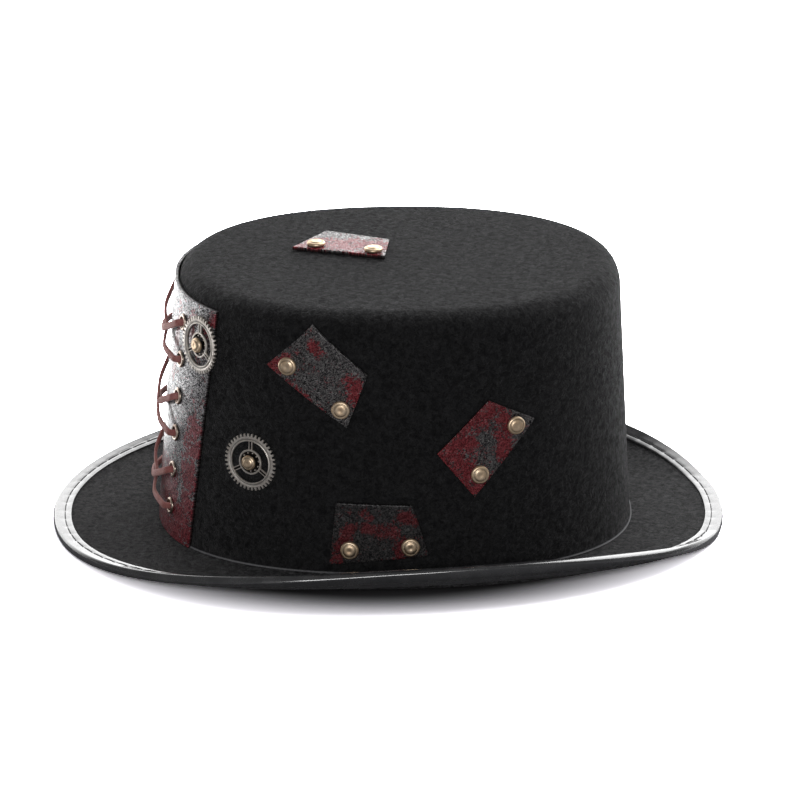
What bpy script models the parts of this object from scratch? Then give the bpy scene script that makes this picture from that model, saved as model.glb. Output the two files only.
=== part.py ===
"""A steampunk top hat of black felt, resting on its brim.

The crown is one moulded felt shell, open below for the head. It stands on a felt brim whose sides roll
up and whose edge is wrapped by a glossy folded binding. A leather panel wraps the front of the crown and
is laced through two columns of brass eyelets. Two cut-out gears and four leather patches are riveted on.

Frame: the hat's front faces -Y, the wearer's left is +X, +Z is up. The origin is on the ground, at the
middle of the hat's outline. Lengths are metres.
"""
import math

import bmesh
import bpy
import numpy as np
from mathutils import Matrix, Vector

# Felt, and the clearances between neighbouring pieces. The one inside the crown is wider, because the
# flat facets of the felt's hollow face stand a little proud of its true curve.
FELT = 0.0020
GAP = 0.0003
GAP_INSIDE = 0.0007

# Crown, measured outside
CROWN_LENGTH = 0.2050
CROWN_WIDTH = 0.1680
TIP_LENGTH = 0.1898
TIP_WIDTH = 0.1605
TIP_LEANS_BACK = 0.0016
CROWN_TOP = 0.1195
SHOULDER_RADIUS = 0.0105
OVAL_SQUARENESS = 2.25

# Brim, measured along its surface from the crown to the outside of the binding
BRIM_FRONT = 0.0480
BRIM_BACK = 0.0410
BRIM_SIDE = 0.0320
ROLL_ANGLE = math.radians(80)
ROLL_MORE_BEHIND = 0.6
ROLL_POWER = 2.0
FLAT_ENDS_SHARE = 0.06
ROOT_RISES_AT_SIDES = 0.0020

# Folded binding round the brim's edge
BINDING_THICKNESS = 0.0007
BINDING_LEAF = 0.0080
BINDING_NOSE_HALF = 0.0005

# Laced leather panel on the front of the crown
LEATHER = 0.0016
PANEL_HALF_WIDTH_TOP = 0.0550
PANEL_HALF_WIDTH_FOOT = 0.0480
PANEL_BELOW_TIP = 0.0065

# Brass eyelets, in two columns
EYELET_ROWS = 6
EYELET_FROM_CENTRE = 0.0300
EYELET_BELOW_PANEL_TOP = 0.0120
EYELET_ABOVE_PANEL_FOOT = 0.0135
EYELET_BORE_RADIUS = 0.0021
EYELET_WALL = 0.0005
EYELET_FLANGE_RADIUS = 0.0037
EYELET_FLANGE = 0.0007

# Suede lace, a flat strip. A strand bulges most, and starts to close on the one that it crosses, at
# shares of its length.
LACE_WIDTH = 0.0030
LACE_THICKNESS = 0.0014
LACE_UNDER_LIFT = 0.0012
LACE_BULGE = 0.0030
LACE_SAG = 0.0042
LACE_TAIL = 0.0080
LACE_TURN = 0.0013
LACE_TURN_REACH = 0.0030
LACE_INSIDE_CLEARANCE = 0.0009
LACE_BULGE_SHARE, LACE_CROSSING_SHARE = 0.24, 0.38

# Cut-out gears. A tooth's flanks start and end at shares of the pitch.
GEAR_RADIUS = 0.0125
GEAR_THICKNESS = 0.0012
GEAR_TEETH = 40
TOOTH_DEPTH = 0.0013
TOOTH_START, TOOTH_CREST_START, TOOTH_CREST_END = 0.30, 0.42, 0.88
GEAR_RIM_INSIDE = 0.0091
GEAR_HUB_RADIUS = 0.0056
GEAR_SPOKE_WIDTH = 0.0016
GEAR_SPOKES = 3

# Domed rivets
RIVET_HEAD_RADIUS = 0.0040
RIVET_HEAD_HEIGHT = 0.0022
RIVET_RIM_HEIGHT = 0.0007
RIVET_SHANK_RADIUS = 0.0014
RIVET_CAP_THICKNESS = 0.0008
GEAR_RIVET_HEAD_RADIUS = 0.0032

# Fineness of the faceted surfaces
AROUND = 40
ROUND_SIDES = 10
HOLE_SIDES = 8
DOME_STEPS = 2
SHOULDER_STEPS = 4
WINDOW_STEPS = 6
PATCH_CELLS = 5
PANEL_CELLS_ACROSS = 10
PANEL_CELLS_UP = 4
LACE_LONG_STEP = 0.0090
BRIM_SLOPE_STEPS = 64
RUN_STEPS = 360
WALL_STEP = 0.0001

# Each gear's centre. round: share of the way round the crown from its front to its back; up: share of
# the crown's side.
GEARS = {
    "gear_on_panel": {"round": 0.1566, "up": 0.878, "on_panel": True},
    "gear_on_crown": {"round": 0.2634, "up": 0.449, "on_panel": False},
}

# Each patch's middle, as round and up are above, its corners from there (across, up the wall) and the
# places of its rivets from there, both in PATCH_SIZE.
PATCH_SIZE = 0.0200
WALL_PATCHES = {
    "patch_upper": {
        "round": 0.3631, "up": 0.851,
        "corners": [(-0.350, 1.060), (0.900, 0.040), (0.570, -1.135), (-1.290, 0.110)],
        "rivets": [(-0.800, 0.150), (0.410, -0.720)],
    },
    "patch_rear": {
        "round": 0.5963, "up": 0.547,
        "corners": [(0.000, 1.010), (1.095, 0.485), (-0.095, -1.110), (-0.990, -0.105)],
        "rivets": [(0.645, 0.415), (-0.045, -0.595)],
    },
    "patch_lower": {
        "round": 0.4581, "up": 0.196,
        "corners": [(-0.940, 0.665), (0.680, 0.620), (1.120, -0.515), (-0.960, -0.725)],
        "rivets": [(-0.555, -0.375), (0.715, -0.300)],
    },
}

# The patch on the tip: its middle from the tip's centre, in half the tip's width and length, and its
# corners and rivets (x, y) from there, in PATCH_SIZE.
TIP_PATCH = {
    "middle": (-0.179, -0.232),
    "corners": [(0.210, -1.215), (-0.895, -0.455), (-0.235, 0.905), (0.910, 0.770)],
    "rivets": [(0.600, 0.530), (0.150, -0.700)],
}

# What follows from the sizes above
BRIM_ROOT_Z = BINDING_THICKNESS + GAP + FELT / 2
CROWN_FOOT_Z = BRIM_ROOT_Z + FELT / 2 + GAP
CROWN_CENTRE_Y = (BRIM_FRONT - BRIM_BACK) / 2
SHOULDER_Z = CROWN_TOP - SHOULDER_RADIUS
SIDE_HEIGHT = SHOULDER_Z - CROWN_FOOT_Z
PANEL_TOP_Z = CROWN_TOP - PANEL_BELOW_TIP
PANEL_FOOT_Z = CROWN_FOOT_Z + GAP
PANEL_FRONT = GAP + LEATHER
HOLE_REACH = 2 * (FELT + LEATHER)


def oval(bearing, half_length, half_width):
    """Points (x, y) of the hat's oval, a circle raised to a squarer power and stretched. A bearing of
    zero is the front, and it grows towards the wearer's left."""
    power = 2 / OVAL_SQUARENESS
    sine = np.sin(bearing)
    cosine = np.cos(bearing)
    x = half_width * np.sign(sine) * np.abs(sine) ** power
    y = -half_length * np.sign(cosine) * np.abs(cosine) ** power
    return x, y


def unit(vectors):
    return vectors / np.linalg.norm(vectors, axis=-1, keepdims=True)


def level(vectors):
    """The vectors' directions seen from above."""
    return unit(vectors * [1, 1, 0])


def wall_line(bearing, z):
    """Points of the crown's outer wall at height z, before its shoulder is rounded: the oval shrinks and
    its centre moves back evenly from the foot to the tip."""
    share = (z - CROWN_FOOT_Z) / (CROWN_TOP - CROWN_FOOT_Z)
    half_length = (CROWN_LENGTH + (TIP_LENGTH - CROWN_LENGTH) * share) / 2
    half_width = (CROWN_WIDTH + (TIP_WIDTH - CROWN_WIDTH) * share) / 2
    x, y = oval(bearing, half_length, half_width)
    return np.stack([x, y + CROWN_CENTRE_Y + TIP_LEANS_BACK * share, z + 0 * x], axis=-1)


def wall_axes(bearing, z):
    """The wall's directions there: round it, up it and out of it."""
    around = unit(wall_line(bearing + WALL_STEP, z) - wall_line(bearing - WALL_STEP, z))
    up = unit(wall_line(bearing, z + WALL_STEP) - wall_line(bearing, z - WALL_STEP))
    out = unit(np.cross(around, up))
    return around, np.cross(out, around), out


def sideness(bearing):
    """How far round from the hat's ends to its sides a bearing is: nothing on the flat ends, 1 at the
    sides."""
    return np.clip((np.sin(bearing) ** 2 - FLAT_ENDS_SHARE) / (1 - FLAT_ENDS_SHARE), 0, 1)


def root_rise(bearing):
    """How far the seam of crown and brim climbs from the hat's ends to its sides."""
    return ROOT_RISES_AT_SIDES * sideness(bearing)


def bearing_of(across, z):
    """The bearing at a distance round the crown from its front, measured at height z."""
    bearings = np.linspace(0, math.pi, RUN_STEPS + 1)
    line = wall_line(bearings, z)
    lengths = np.linalg.norm(np.diff(line, axis=0), axis=-1)
    run = np.concatenate([[0], np.cumsum(lengths)])
    return np.sign(across) * np.interp(abs(across), run, bearings)


def half_girth():
    """Half the way round the crown's foot, from its front to its back."""
    line = wall_line(np.linspace(0, math.pi, RUN_STEPS + 1), CROWN_FOOT_Z)
    return np.linalg.norm(np.diff(line, axis=0), axis=-1).sum()


def on_wall(across, climb, proud, stiff=False):
    """A point on the crown, and its directions round, up and out. climb is the way up the wall from its
    foot at the front. Past the side's height it goes over the rounded shoulder and on across the tip,
    unless it is stiff, when it goes on straight up. proud is the distance outside the felt."""
    over = 0.0 if stiff else max(climb - SIDE_HEIGHT, 0.0)
    z = CROWN_FOOT_Z + climb - over
    bearing = bearing_of(across, z)
    around, up, out = wall_axes(bearing, z)
    if over:
        out = level(out)
        up = np.array([0.0, 0.0, 1.0])
    turn = min(over / SHOULDER_RADIUS, math.pi / 2)
    beyond = max(over - SHOULDER_RADIUS * math.pi / 2, 0.0)
    middle = wall_line(bearing, z) - out * SHOULDER_RADIUS
    turned_out = out * math.cos(turn) + up * math.sin(turn)
    turned_up = up * math.cos(turn) - out * math.sin(turn)
    point = middle + turned_out * (SHOULDER_RADIUS + proud) + turned_up * beyond
    return point, around, turned_up, turned_out


def wall_frame(across, climb, proud=0.0):
    """A frame on the crown whose x runs round it, y up it and z out of it."""
    point, around, up, out = on_wall(across, climb, proud)
    frame = Matrix.Identity(4)
    for column, axis in enumerate((around, up, out, point)):
        frame.col[column] = (*axis, 1.0 if column == 3 else 0.0)
    return frame


def brim_width(bearing):
    """Width of the brim along its surface, from the crown to the outside of the binding."""
    along = np.cos(bearing)
    ends = np.where(along > 0, BRIM_FRONT, BRIM_BACK)
    return ends * along ** 2 + BRIM_SIDE * (1 - along ** 2)


def brim_surface(bearing, slant, lift):
    """Points of the brim: slant is the way out along its middle surface from the crown's outer face, and
    lift is the distance above that surface. The slope grows as a power of the way out, to its most at
    the edge. It is nothing at the hat's ends, and larger behind the sides than before them."""
    width = brim_width(bearing)
    edge_slope = ROLL_ANGLE * sideness(bearing) * (1 - ROLL_MORE_BEHIND * np.cos(bearing))
    steps = (np.arange(BRIM_SLOPE_STEPS) + 0.5) / BRIM_SLOPE_STEPS
    slopes = edge_slope[:, None] * np.clip(slant[:, None] * steps / width[:, None], 0, None) ** ROLL_POWER
    run = slant * np.cos(slopes).mean(axis=1)
    rise = slant * np.sin(slopes).mean(axis=1)
    slope = edge_slope * np.clip(slant / width, 0, None) ** ROLL_POWER
    foot = wall_line(bearing, CROWN_FOOT_Z)
    away = level(wall_axes(bearing, CROWN_FOOT_Z)[2])
    upward = np.array([0.0, 0.0, 1.0])
    point = foot + away * run[:, None]
    point[:, 2] = BRIM_ROOT_Z + root_rise(bearing) + rise
    return point + (upward * np.cos(slope)[:, None] - away * np.sin(slope)[:, None]) * lift


def bearings_around():
    return np.arange(AROUND) * 2 * math.pi / AROUND


def make_material(name, colour, roughness, metallic=0.0):
    """A plain Principled material."""
    material = bpy.data.materials.new(name)
    material.use_nodes = True
    shader = material.node_tree.nodes["Principled BSDF"]
    shader.inputs["Base Color"].default_value = (*colour, 1.0)
    shader.inputs["Roughness"].default_value = roughness
    shader.inputs["Metallic"].default_value = metallic
    return material


def add_object(name, mesh, material):
    """An object of this mesh in the scene, shaded smooth but for its sharp edges."""
    mesh.materials.append(material)
    mesh.shade_smooth()
    mesh.set_sharp_from_angle(angle=math.radians(35))
    piece = bpy.data.objects.new(name, mesh)
    bpy.context.scene.collection.objects.link(piece)
    return piece


def mesh_of(name, points, faces):
    """A mesh of these points and faces, turned outwards. Its quads are split along their shorter
    diagonal, so that the facets of two neighbouring surfaces follow each other."""
    mesh = bpy.data.meshes.new(name)
    mesh.from_pydata(np.asarray(points).tolist(), [], [list(face) for face in faces])
    shape = bmesh.new()
    shape.from_mesh(mesh)
    bmesh.ops.triangulate(shape, faces=shape.faces[:], quad_method="SHORT_EDGE")
    bmesh.ops.recalc_face_normals(shape, faces=shape.faces)
    shape.to_mesh(mesh)
    shape.free()
    return mesh


def joined_rings(rings, first=0):
    """Faces that join each ring of points to the next, numbering the points from first."""
    count = rings.shape[1]
    faces = []
    for row in range(len(rings) - 1):
        for column in range(count):
            following = (column + 1) % count
            start = first + row * count
            beyond = start + count
            faces.append((start + column, start + following, beyond + following, beyond + column))
    return faces


def capped_rings(name, rings, start_pole, end_pole):
    """A closed shape from a start point, through rings of points, to an end point."""
    count = rings.shape[1]
    points = np.concatenate([rings.reshape(-1, 3), [start_pole, end_pole]])
    faces = joined_rings(rings)
    start, end = len(points) - 2, len(points) - 1
    last = (len(rings) - 1) * count
    for column in range(count):
        following = (column + 1) % count
        faces.append((start, following, column))
        faces.append((end, last + column, last + following))
    return mesh_of(name, points, faces)


def hoop(name, rings):
    """A closed hoop: the last ring of points is joined back to the first."""
    closed = np.concatenate([rings, rings[:1]])
    count = rings.shape[1]
    faces = [tuple(corner % (len(rings) * count) for corner in face) for face in joined_rings(closed)]
    return mesh_of(name, rings.reshape(-1, 3), faces)


def sheet(name, front, back):
    """A closed sheet between two grids of points, with its four edges closed."""
    rows, columns = front.shape[:2]
    count = rows * columns
    faces = []
    for row in range(rows - 1):
        for column in range(columns - 1):
            corner = row * columns + column
            face = (corner, corner + 1, corner + columns + 1, corner + columns)
            faces.append(face)
            faces.append(tuple(count + index for index in reversed(face)))
    border = [column for column in range(columns)]
    border += [row * columns + columns - 1 for row in range(1, rows)]
    border += [(rows - 1) * columns + column for column in reversed(range(columns - 1))]
    border += [row * columns for row in reversed(range(1, rows - 1))]
    for here, following in zip(border, border[1:] + border[:1]):
        faces.append((here, following, count + following, count + here))
    return mesh_of(name, np.concatenate([front.reshape(-1, 3), back.reshape(-1, 3)]), faces)


def turned(name, profile, frame, sides=ROUND_SIDES):
    """The profile's points (radius, height) turned about the frame's z. A profile that ends on the axis
    at both ends is closed there, and any other is closed on itself."""
    angles = np.arange(sides) * 2 * math.pi / sides
    on_axis = profile[0][0] == 0
    outline = profile[1:-1] if on_axis else profile
    rings = np.array([
        [(radius * math.cos(angle), radius * math.sin(angle), height) for angle in angles]
        for radius, height in outline
    ])
    if on_axis:
        mesh = capped_rings(name, rings, (0, 0, profile[0][1]), (0, 0, profile[-1][1]))
    else:
        mesh = hoop(name, rings)
    mesh.transform(frame)
    return mesh


def hole_cutter(name, frames, radius):
    """Hidden cylinders along each frame's z, wide enough that even their flats clear the radius. They
    reach past the felt inside and past the leather outside."""
    corner_radius = radius / math.cos(math.pi / HOLE_SIDES)
    shape = bmesh.new()
    for frame in frames:
        bmesh.ops.create_cone(
            shape, cap_ends=True, segments=HOLE_SIDES, radius1=corner_radius, radius2=corner_radius,
            depth=2 * HOLE_REACH, matrix=frame,
        )
    mesh = bpy.data.meshes.new(name)
    shape.to_mesh(mesh)
    shape.free()
    cutter = bpy.data.objects.new(name, mesh)
    cutter.display_type = "WIRE"
    cutter.hide_render = True
    bpy.context.scene.collection.objects.link(cutter)
    return cutter


def cut(piece, cutter):
    boolean = piece.modifiers.new("Cut " + cutter.name, "BOOLEAN")
    boolean.operation = "DIFFERENCE"
    boolean.object = cutter


def crown_rings(inside):
    """Rings of the crown's outer face, or of its inner one, from near the tip's middle to the foot."""
    bearing = bearings_around()
    depth = FELT if inside else 0.0
    radius = SHOULDER_RADIUS - depth
    foot = wall_line(bearing, CROWN_FOOT_Z)
    foot[:, 2] += root_rise(bearing)
    foot -= level(wall_axes(bearing, CROWN_FOOT_Z)[2]) * depth
    half_way_up = CROWN_FOOT_Z + SIDE_HEIGHT / 2
    rings = [foot, wall_line(bearing, half_way_up) - wall_axes(bearing, half_way_up)[2] * depth]
    out = level(wall_axes(bearing, SHOULDER_Z)[2])
    middle = wall_line(bearing, SHOULDER_Z) - out * SHOULDER_RADIUS
    for turn in np.linspace(0, math.pi / 2, SHOULDER_STEPS + 1):
        rings.append(middle + (out * math.cos(turn) + np.array([0, 0, 1.0]) * math.sin(turn)) * radius)
    centre = tip_centre()
    half_way = (rings[-1] + centre) / 2
    half_way[:, 2] = rings[-1][:, 2]
    rings.append(half_way)
    return rings[::-1]


def tip_centre():
    return np.array([0.0, CROWN_CENTRE_Y + TIP_LEANS_BACK, CROWN_TOP])


def make_crown(felt):
    """The felt shell of wall, rounded shoulder and tip, open below."""
    outer = crown_rings(inside=False)
    inner = crown_rings(inside=True)
    rings = np.array(outer + inner[::-1])
    under_tip = tip_centre() - [0, 0, FELT]
    return add_object("crown", capped_rings("crown", rings, tip_centre(), under_tip), felt)


def make_brim(felt):
    """The felt brim: a flat root under the crown's wall, then a surface that rolls up at the sides. Its
    edge stays inside the binding's fold."""
    bearing = bearings_around()
    edge = brim_width(bearing) - BINDING_THICKNESS - GAP
    leaf_start = brim_width(bearing) - BINDING_LEAF
    slants = [0 * edge - FELT, 0 * edge]
    slants += [leaf_start * share for share in (1 / 3, 2 / 3, 1)]
    slants += [(leaf_start + edge) / 2, edge]
    above = [brim_surface(bearing, slant, FELT / 2) for slant in slants]
    below = [brim_surface(bearing, slant, -FELT / 2) for slant in slants]
    return add_object("brim", hoop("brim", np.array(above + below[::-1])), felt)


def make_binding(glossy):
    """A strip folded over the brim's edge: an upper leaf, a rounded fold and a lower leaf."""
    bearing = bearings_around()
    width = brim_width(bearing)
    leaf_start = width - BINDING_LEAF
    fold = BINDING_THICKNESS + GAP
    edge = width - fold
    inside = FELT / 2 + GAP
    outside = inside + BINDING_THICKNESS
    section = [
        (leaf_start, inside), (leaf_start, outside), ((leaf_start + edge) / 2, outside),
        (edge, outside), (width, BINDING_NOSE_HALF), (width, -BINDING_NOSE_HALF), (edge, -outside),
        ((leaf_start + edge) / 2, -outside), (leaf_start, -outside), (leaf_start, -inside),
        ((leaf_start + edge) / 2, -inside), (edge + GAP, -inside), (edge + GAP, inside),
        ((leaf_start + edge) / 2, inside),
    ]
    rings = np.array([brim_surface(bearing, slant, lift) for slant, lift in section])
    return add_object("brim_binding", hoop("brim_binding", rings), glossy)


def make_panel(leather):
    """The laced panel: a stiff sheet round the crown's front that goes straight up past the shoulder."""
    shares = np.linspace(-1, 1, PANEL_CELLS_ACROSS + 1)
    heights = np.linspace(PANEL_FOOT_Z, PANEL_TOP_Z, PANEL_CELLS_UP + 1)
    faces = []
    for proud in (PANEL_FRONT, GAP):
        grid = []
        for z in heights:
            up_share = (z - PANEL_FOOT_Z) / (PANEL_TOP_Z - PANEL_FOOT_Z)
            half = PANEL_HALF_WIDTH_FOOT + (PANEL_HALF_WIDTH_TOP - PANEL_HALF_WIDTH_FOOT) * up_share
            climb = z - CROWN_FOOT_Z
            grid.append([on_wall(half * share, climb, proud, stiff=True)[0] for share in shares])
        faces.append(np.array(grid))
    return add_object("lace_panel", sheet("lace_panel", *faces), leather)


def make_wall_patch(name, spec, leather):
    """A leather patch with four corners that lies against the crown's wall and shoulder."""
    corners = np.array(spec["corners"]) * PATCH_SIZE
    grids = []
    shares = np.linspace(0, 1, PATCH_CELLS + 1)
    middle = np.array([spec["round"] * half_girth(), spec["up"] * SIDE_HEIGHT])
    for proud in (GAP + LEATHER, GAP):
        grid = []
        for down in shares:
            start = corners[0] + (corners[3] - corners[0]) * down
            end = corners[1] + (corners[2] - corners[1]) * down
            row = [middle + start + (end - start) * along for along in shares]
            grid.append([on_wall(across, climb, proud)[0] for across, climb in row])
        grids.append(np.array(grid))
    return add_object(name, sheet(name, *grids), leather)


def on_tip(place):
    """A point on the tip, from the patch's middle there, in PATCH_SIZE."""
    across, back = TIP_PATCH["middle"]
    middle = tip_centre() + [across * TIP_WIDTH / 2, back * TIP_LENGTH / 2, 0]
    return middle + np.array([*place, 0]) * PATCH_SIZE


def make_tip_patch(leather):
    """The flat patch on the tip."""
    corners = [on_tip(place) + [0, 0, GAP] for place in TIP_PATCH["corners"]]
    below = np.array([[corners[0], corners[1]], [corners[3], corners[2]]])
    above = below + [0, 0, LEATHER]
    return add_object("patch_tip", sheet("patch_tip", above, below), leather)


def make_rivet(name, frame, head_radius, seat, brass):
    """A domed head on its seat, a shank through everything below and a flat cap on the felt inside. The
    dome's section is a quarter of an ellipse above its straight rim."""
    inner_seat = FELT + GAP_INSIDE
    rim = seat + RIVET_RIM_HEIGHT
    dome = RIVET_HEAD_HEIGHT - RIVET_RIM_HEIGHT
    profile = [(0, seat + RIVET_HEAD_HEIGHT)]
    for step in range(DOME_STEPS - 1, -1, -1):
        turn = math.pi / 2 * step / DOME_STEPS
        profile.append((head_radius * math.cos(turn), rim + dome * math.sin(turn)))
    profile += [
        (head_radius, seat), (RIVET_SHANK_RADIUS, seat), (RIVET_SHANK_RADIUS, -inner_seat),
        (head_radius, -inner_seat), (head_radius, -inner_seat - RIVET_CAP_THICKNESS),
        (0, -inner_seat - RIVET_CAP_THICKNESS),
    ]
    return add_object(name, turned(name, profile, frame), brass)


def make_eyelet(name, frame, brass):
    """A flanged sleeve through the panel and the felt, flared again on the inside."""
    seat = PANEL_FRONT + GAP
    inner_seat = FELT + GAP_INSIDE
    barrel = EYELET_BORE_RADIUS + EYELET_WALL
    profile = [
        (EYELET_BORE_RADIUS, seat + EYELET_FLANGE), (EYELET_FLANGE_RADIUS, seat + EYELET_FLANGE),
        (EYELET_FLANGE_RADIUS, seat), (barrel, seat), (barrel, -inner_seat),
        (EYELET_FLANGE_RADIUS, -inner_seat), (EYELET_FLANGE_RADIUS, -inner_seat - EYELET_FLANGE),
        (EYELET_BORE_RADIUS, -inner_seat - EYELET_FLANGE),
    ]
    return add_object(name, turned(name, profile, frame), brass)


def arc_points(radius, start, end, steps):
    angles = np.linspace(start, end, steps + 1)
    return [(radius * math.cos(angle), radius * math.sin(angle)) for angle in angles]


def gear_outlines():
    """The gear's toothed outline, the windows between its spokes and its middle hole."""
    pitch = 2 * math.pi / GEAR_TEETH
    root = GEAR_RADIUS - TOOTH_DEPTH
    outline = []
    for tooth in range(GEAR_TEETH):
        start = tooth * pitch
        crest = (TOOTH_CREST_START, GEAR_RADIUS), (TOOTH_CREST_END, GEAR_RADIUS)
        for share, radius in ((0, root), (TOOTH_START, root), *crest):
            angle = start + share * pitch
            outline.append((radius * math.cos(angle), radius * math.sin(angle)))
    outlines = [outline]
    for spoke in range(GEAR_SPOKES):
        first = math.pi / 2 + spoke * 2 * math.pi / GEAR_SPOKES
        second = first + 2 * math.pi / GEAR_SPOKES
        far = math.asin(GEAR_SPOKE_WIDTH / 2 / GEAR_RIM_INSIDE)
        near = math.asin(GEAR_SPOKE_WIDTH / 2 / GEAR_HUB_RADIUS)
        window = arc_points(GEAR_RIM_INSIDE, first + far, second - far, WINDOW_STEPS)
        window += arc_points(GEAR_HUB_RADIUS, second - near, first + near, WINDOW_STEPS // 2)
        outlines.append(window)
    hole = (RIVET_SHANK_RADIUS + GAP) / math.cos(math.pi / HOLE_SIDES)
    outlines.append(arc_points(hole, 0, 2 * math.pi * (1 - 1 / HOLE_SIDES), HOLE_SIDES - 1))
    return outlines


def make_gear(name, frame, seat, metal):
    """A flat gear with its back at the seat's height: its outline and windows filled and thickened."""
    shape = bmesh.new()
    for outline in gear_outlines():
        corners = [shape.verts.new((x, y, seat)) for x, y in outline]
        for here, following in zip(corners, corners[1:] + corners[:1]):
            shape.edges.new((here, following))
    bmesh.ops.triangle_fill(shape, edges=shape.edges[:], use_beauty=True)
    grown = bmesh.ops.extrude_face_region(shape, geom=shape.faces[:])
    raised = [item for item in grown["geom"] if isinstance(item, bmesh.types.BMVert)]
    bmesh.ops.translate(shape, verts=raised, vec=(0, 0, GEAR_THICKNESS))
    bmesh.ops.recalc_face_normals(shape, faces=shape.faces)
    shape.transform(frame)
    mesh = bpy.data.meshes.new(name)
    shape.to_mesh(mesh)
    shape.free()
    return add_object(name, mesh, metal)


def eyelet_climb(row):
    """How far up the wall an eyelet's middle is. Row 0 is the highest."""
    highest = PANEL_TOP_Z - EYELET_BELOW_PANEL_TOP
    lowest = PANEL_FOOT_Z + EYELET_ABOVE_PANEL_FOOT
    return highest + (lowest - highest) * row / (EYELET_ROWS - 1) - CROWN_FOOT_Z


def lace_stations():
    """Where the lace goes, as (side, row) of each eyelet that it passes: side 1 is the wearer's left.
    Each pair of rows is crossed by two strands, and the runs between them lie inside the crown."""
    down_right = []
    down_left = []
    side = 1
    for pair in range(0, EYELET_ROWS - 1, 2):
        down_left += [(side, pair), (-side, pair + 1)]
        down_right += [(-side, pair), (side, pair + 1)]
        side = -side
    return down_right[::-1] + down_left


def lace_controls():
    """Control points of the lace's middle line and its width's direction at each. Outside, a strand
    leaves its eyelet, bulges, sags, passes over or under the strand that it crosses, and goes back in."""
    half = LACE_THICKNESS / 2
    outside = PANEL_FRONT + GAP + EYELET_FLANGE
    inside = -(FELT + GAP_INSIDE + EYELET_FLANGE)
    run_inside = inside - half - LACE_INSIDE_CLEARANCE
    under_lift = PANEL_FRONT + half + LACE_UNDER_LIFT
    over_lift = under_lift + LACE_THICKNESS + GAP
    bulge_lift = PANEL_FRONT + half + LACE_BULGE
    stations = lace_stations()
    controls = []

    def place(station):
        return np.array([station[0] * EYELET_FROM_CENTRE, eyelet_climb(station[1])])

    def add(spot, proud, toward):
        point, around, up, out = on_wall(*spot, proud, stiff=True)
        direction = around * toward[0] + up * toward[1]
        controls.append((point, unit(np.cross(out, direction))))

    def turn_inside(spot, toward, leaving):
        way = [(LACE_TURN / 2, inside - LACE_TURN), (LACE_TURN_REACH, run_inside)]
        for distance, proud in way if leaving else way[::-1]:
            add(spot + np.array(toward) * (distance if leaving else -distance), proud, toward)

    def tail(spot, leaving):
        way = [LACE_TAIL, (LACE_TAIL + LACE_TURN_REACH) / 2]
        toward = (0, -1) if leaving else (0, 1)
        if leaving:
            turn_inside(spot, toward, leaving)
        for distance in way[::-1] if leaving else way:
            add(spot - [0, distance], run_inside, toward)
        if not leaving:
            turn_inside(spot, toward, leaving)

    tail(place(stations[0]), leaving=False)
    for index in range(0, len(stations), 2):
        start, end = place(stations[index]), place(stations[index + 1])
        length = np.linalg.norm(end - start)
        toward = (end - start) / length
        middle_lift = over_lift if index >= len(stations) / 2 else under_lift
        way = [
            (0, inside), (0, outside), (LACE_TURN / 2, outside + LACE_TURN),
            (LACE_TURN_REACH, (outside + LACE_TURN + bulge_lift) / 2),
            (length * LACE_BULGE_SHARE, bulge_lift),
            (length * LACE_CROSSING_SHARE, (bulge_lift + middle_lift) / 2), (length / 2, middle_lift),
        ]
        way += [(length - distance, lift) for distance, lift in way[-2::-1]]
        for distance, lift in way:
            share = distance / length
            sag = LACE_SAG * 4 * share * (1 - share)
            add(start + toward * distance - [0, sag], lift, toward)
        if index + 2 < len(stations):
            following = place(stations[index + 2])
            apart = following - end
            toward = apart / np.linalg.norm(apart)
            turn_inside(end, toward, leaving=True)
            add((end + following) / 2, run_inside, toward)
            turn_inside(following, toward, leaving=False)
    tail(place(stations[-1]), leaving=True)
    return controls


def make_lace(suede):
    """One flat strip along a smooth curve through its control points."""
    controls = lace_controls()
    points = np.array([point for point, _ in controls])
    widths = np.array([width for _, width in controls])
    for index in range(1, len(widths)):
        if widths[index] @ widths[index - 1] < 0:
            widths[index] = -widths[index]
    line = []
    across = []
    for index in range(len(points) - 1):
        before = points[max(index - 1, 0)]
        after = points[min(index + 2, len(points) - 1)]
        start, end = points[index], points[index + 1]
        shares = (0.0, 0.5) if np.linalg.norm(end - start) > LACE_LONG_STEP else (0.0,)
        for share in shares:
            line.append(0.5 * (
                2 * start + (end - before) * share
                + (2 * before - 5 * start + 4 * end - after) * share ** 2
                + (3 * start - before - 3 * end + after) * share ** 3
            ))
            across.append(widths[index] * (1 - share) + widths[index + 1] * share)
    line.append(points[-1])
    across.append(widths[-1])
    line = np.array(line)
    along = unit(np.gradient(line, axis=0))
    across = np.array(across)
    across = unit(across - along * (across * along).sum(axis=1, keepdims=True))
    thick = np.cross(along, across)
    rings = np.stack([
        line + across * (LACE_WIDTH / 2 * x) + thick * (LACE_THICKNESS / 2 * y)
        for x, y in ((-1, -1), (1, -1), (1, 1), (-1, 1))
    ], axis=1)
    faces = joined_rings(rings)
    last = (len(rings) - 1) * 4
    faces += [(0, 1, 2, 3), (last, last + 1, last + 2, last + 3)]
    return add_object("lace", mesh_of("lace", rings.reshape(-1, 3), faces), suede)


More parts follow.
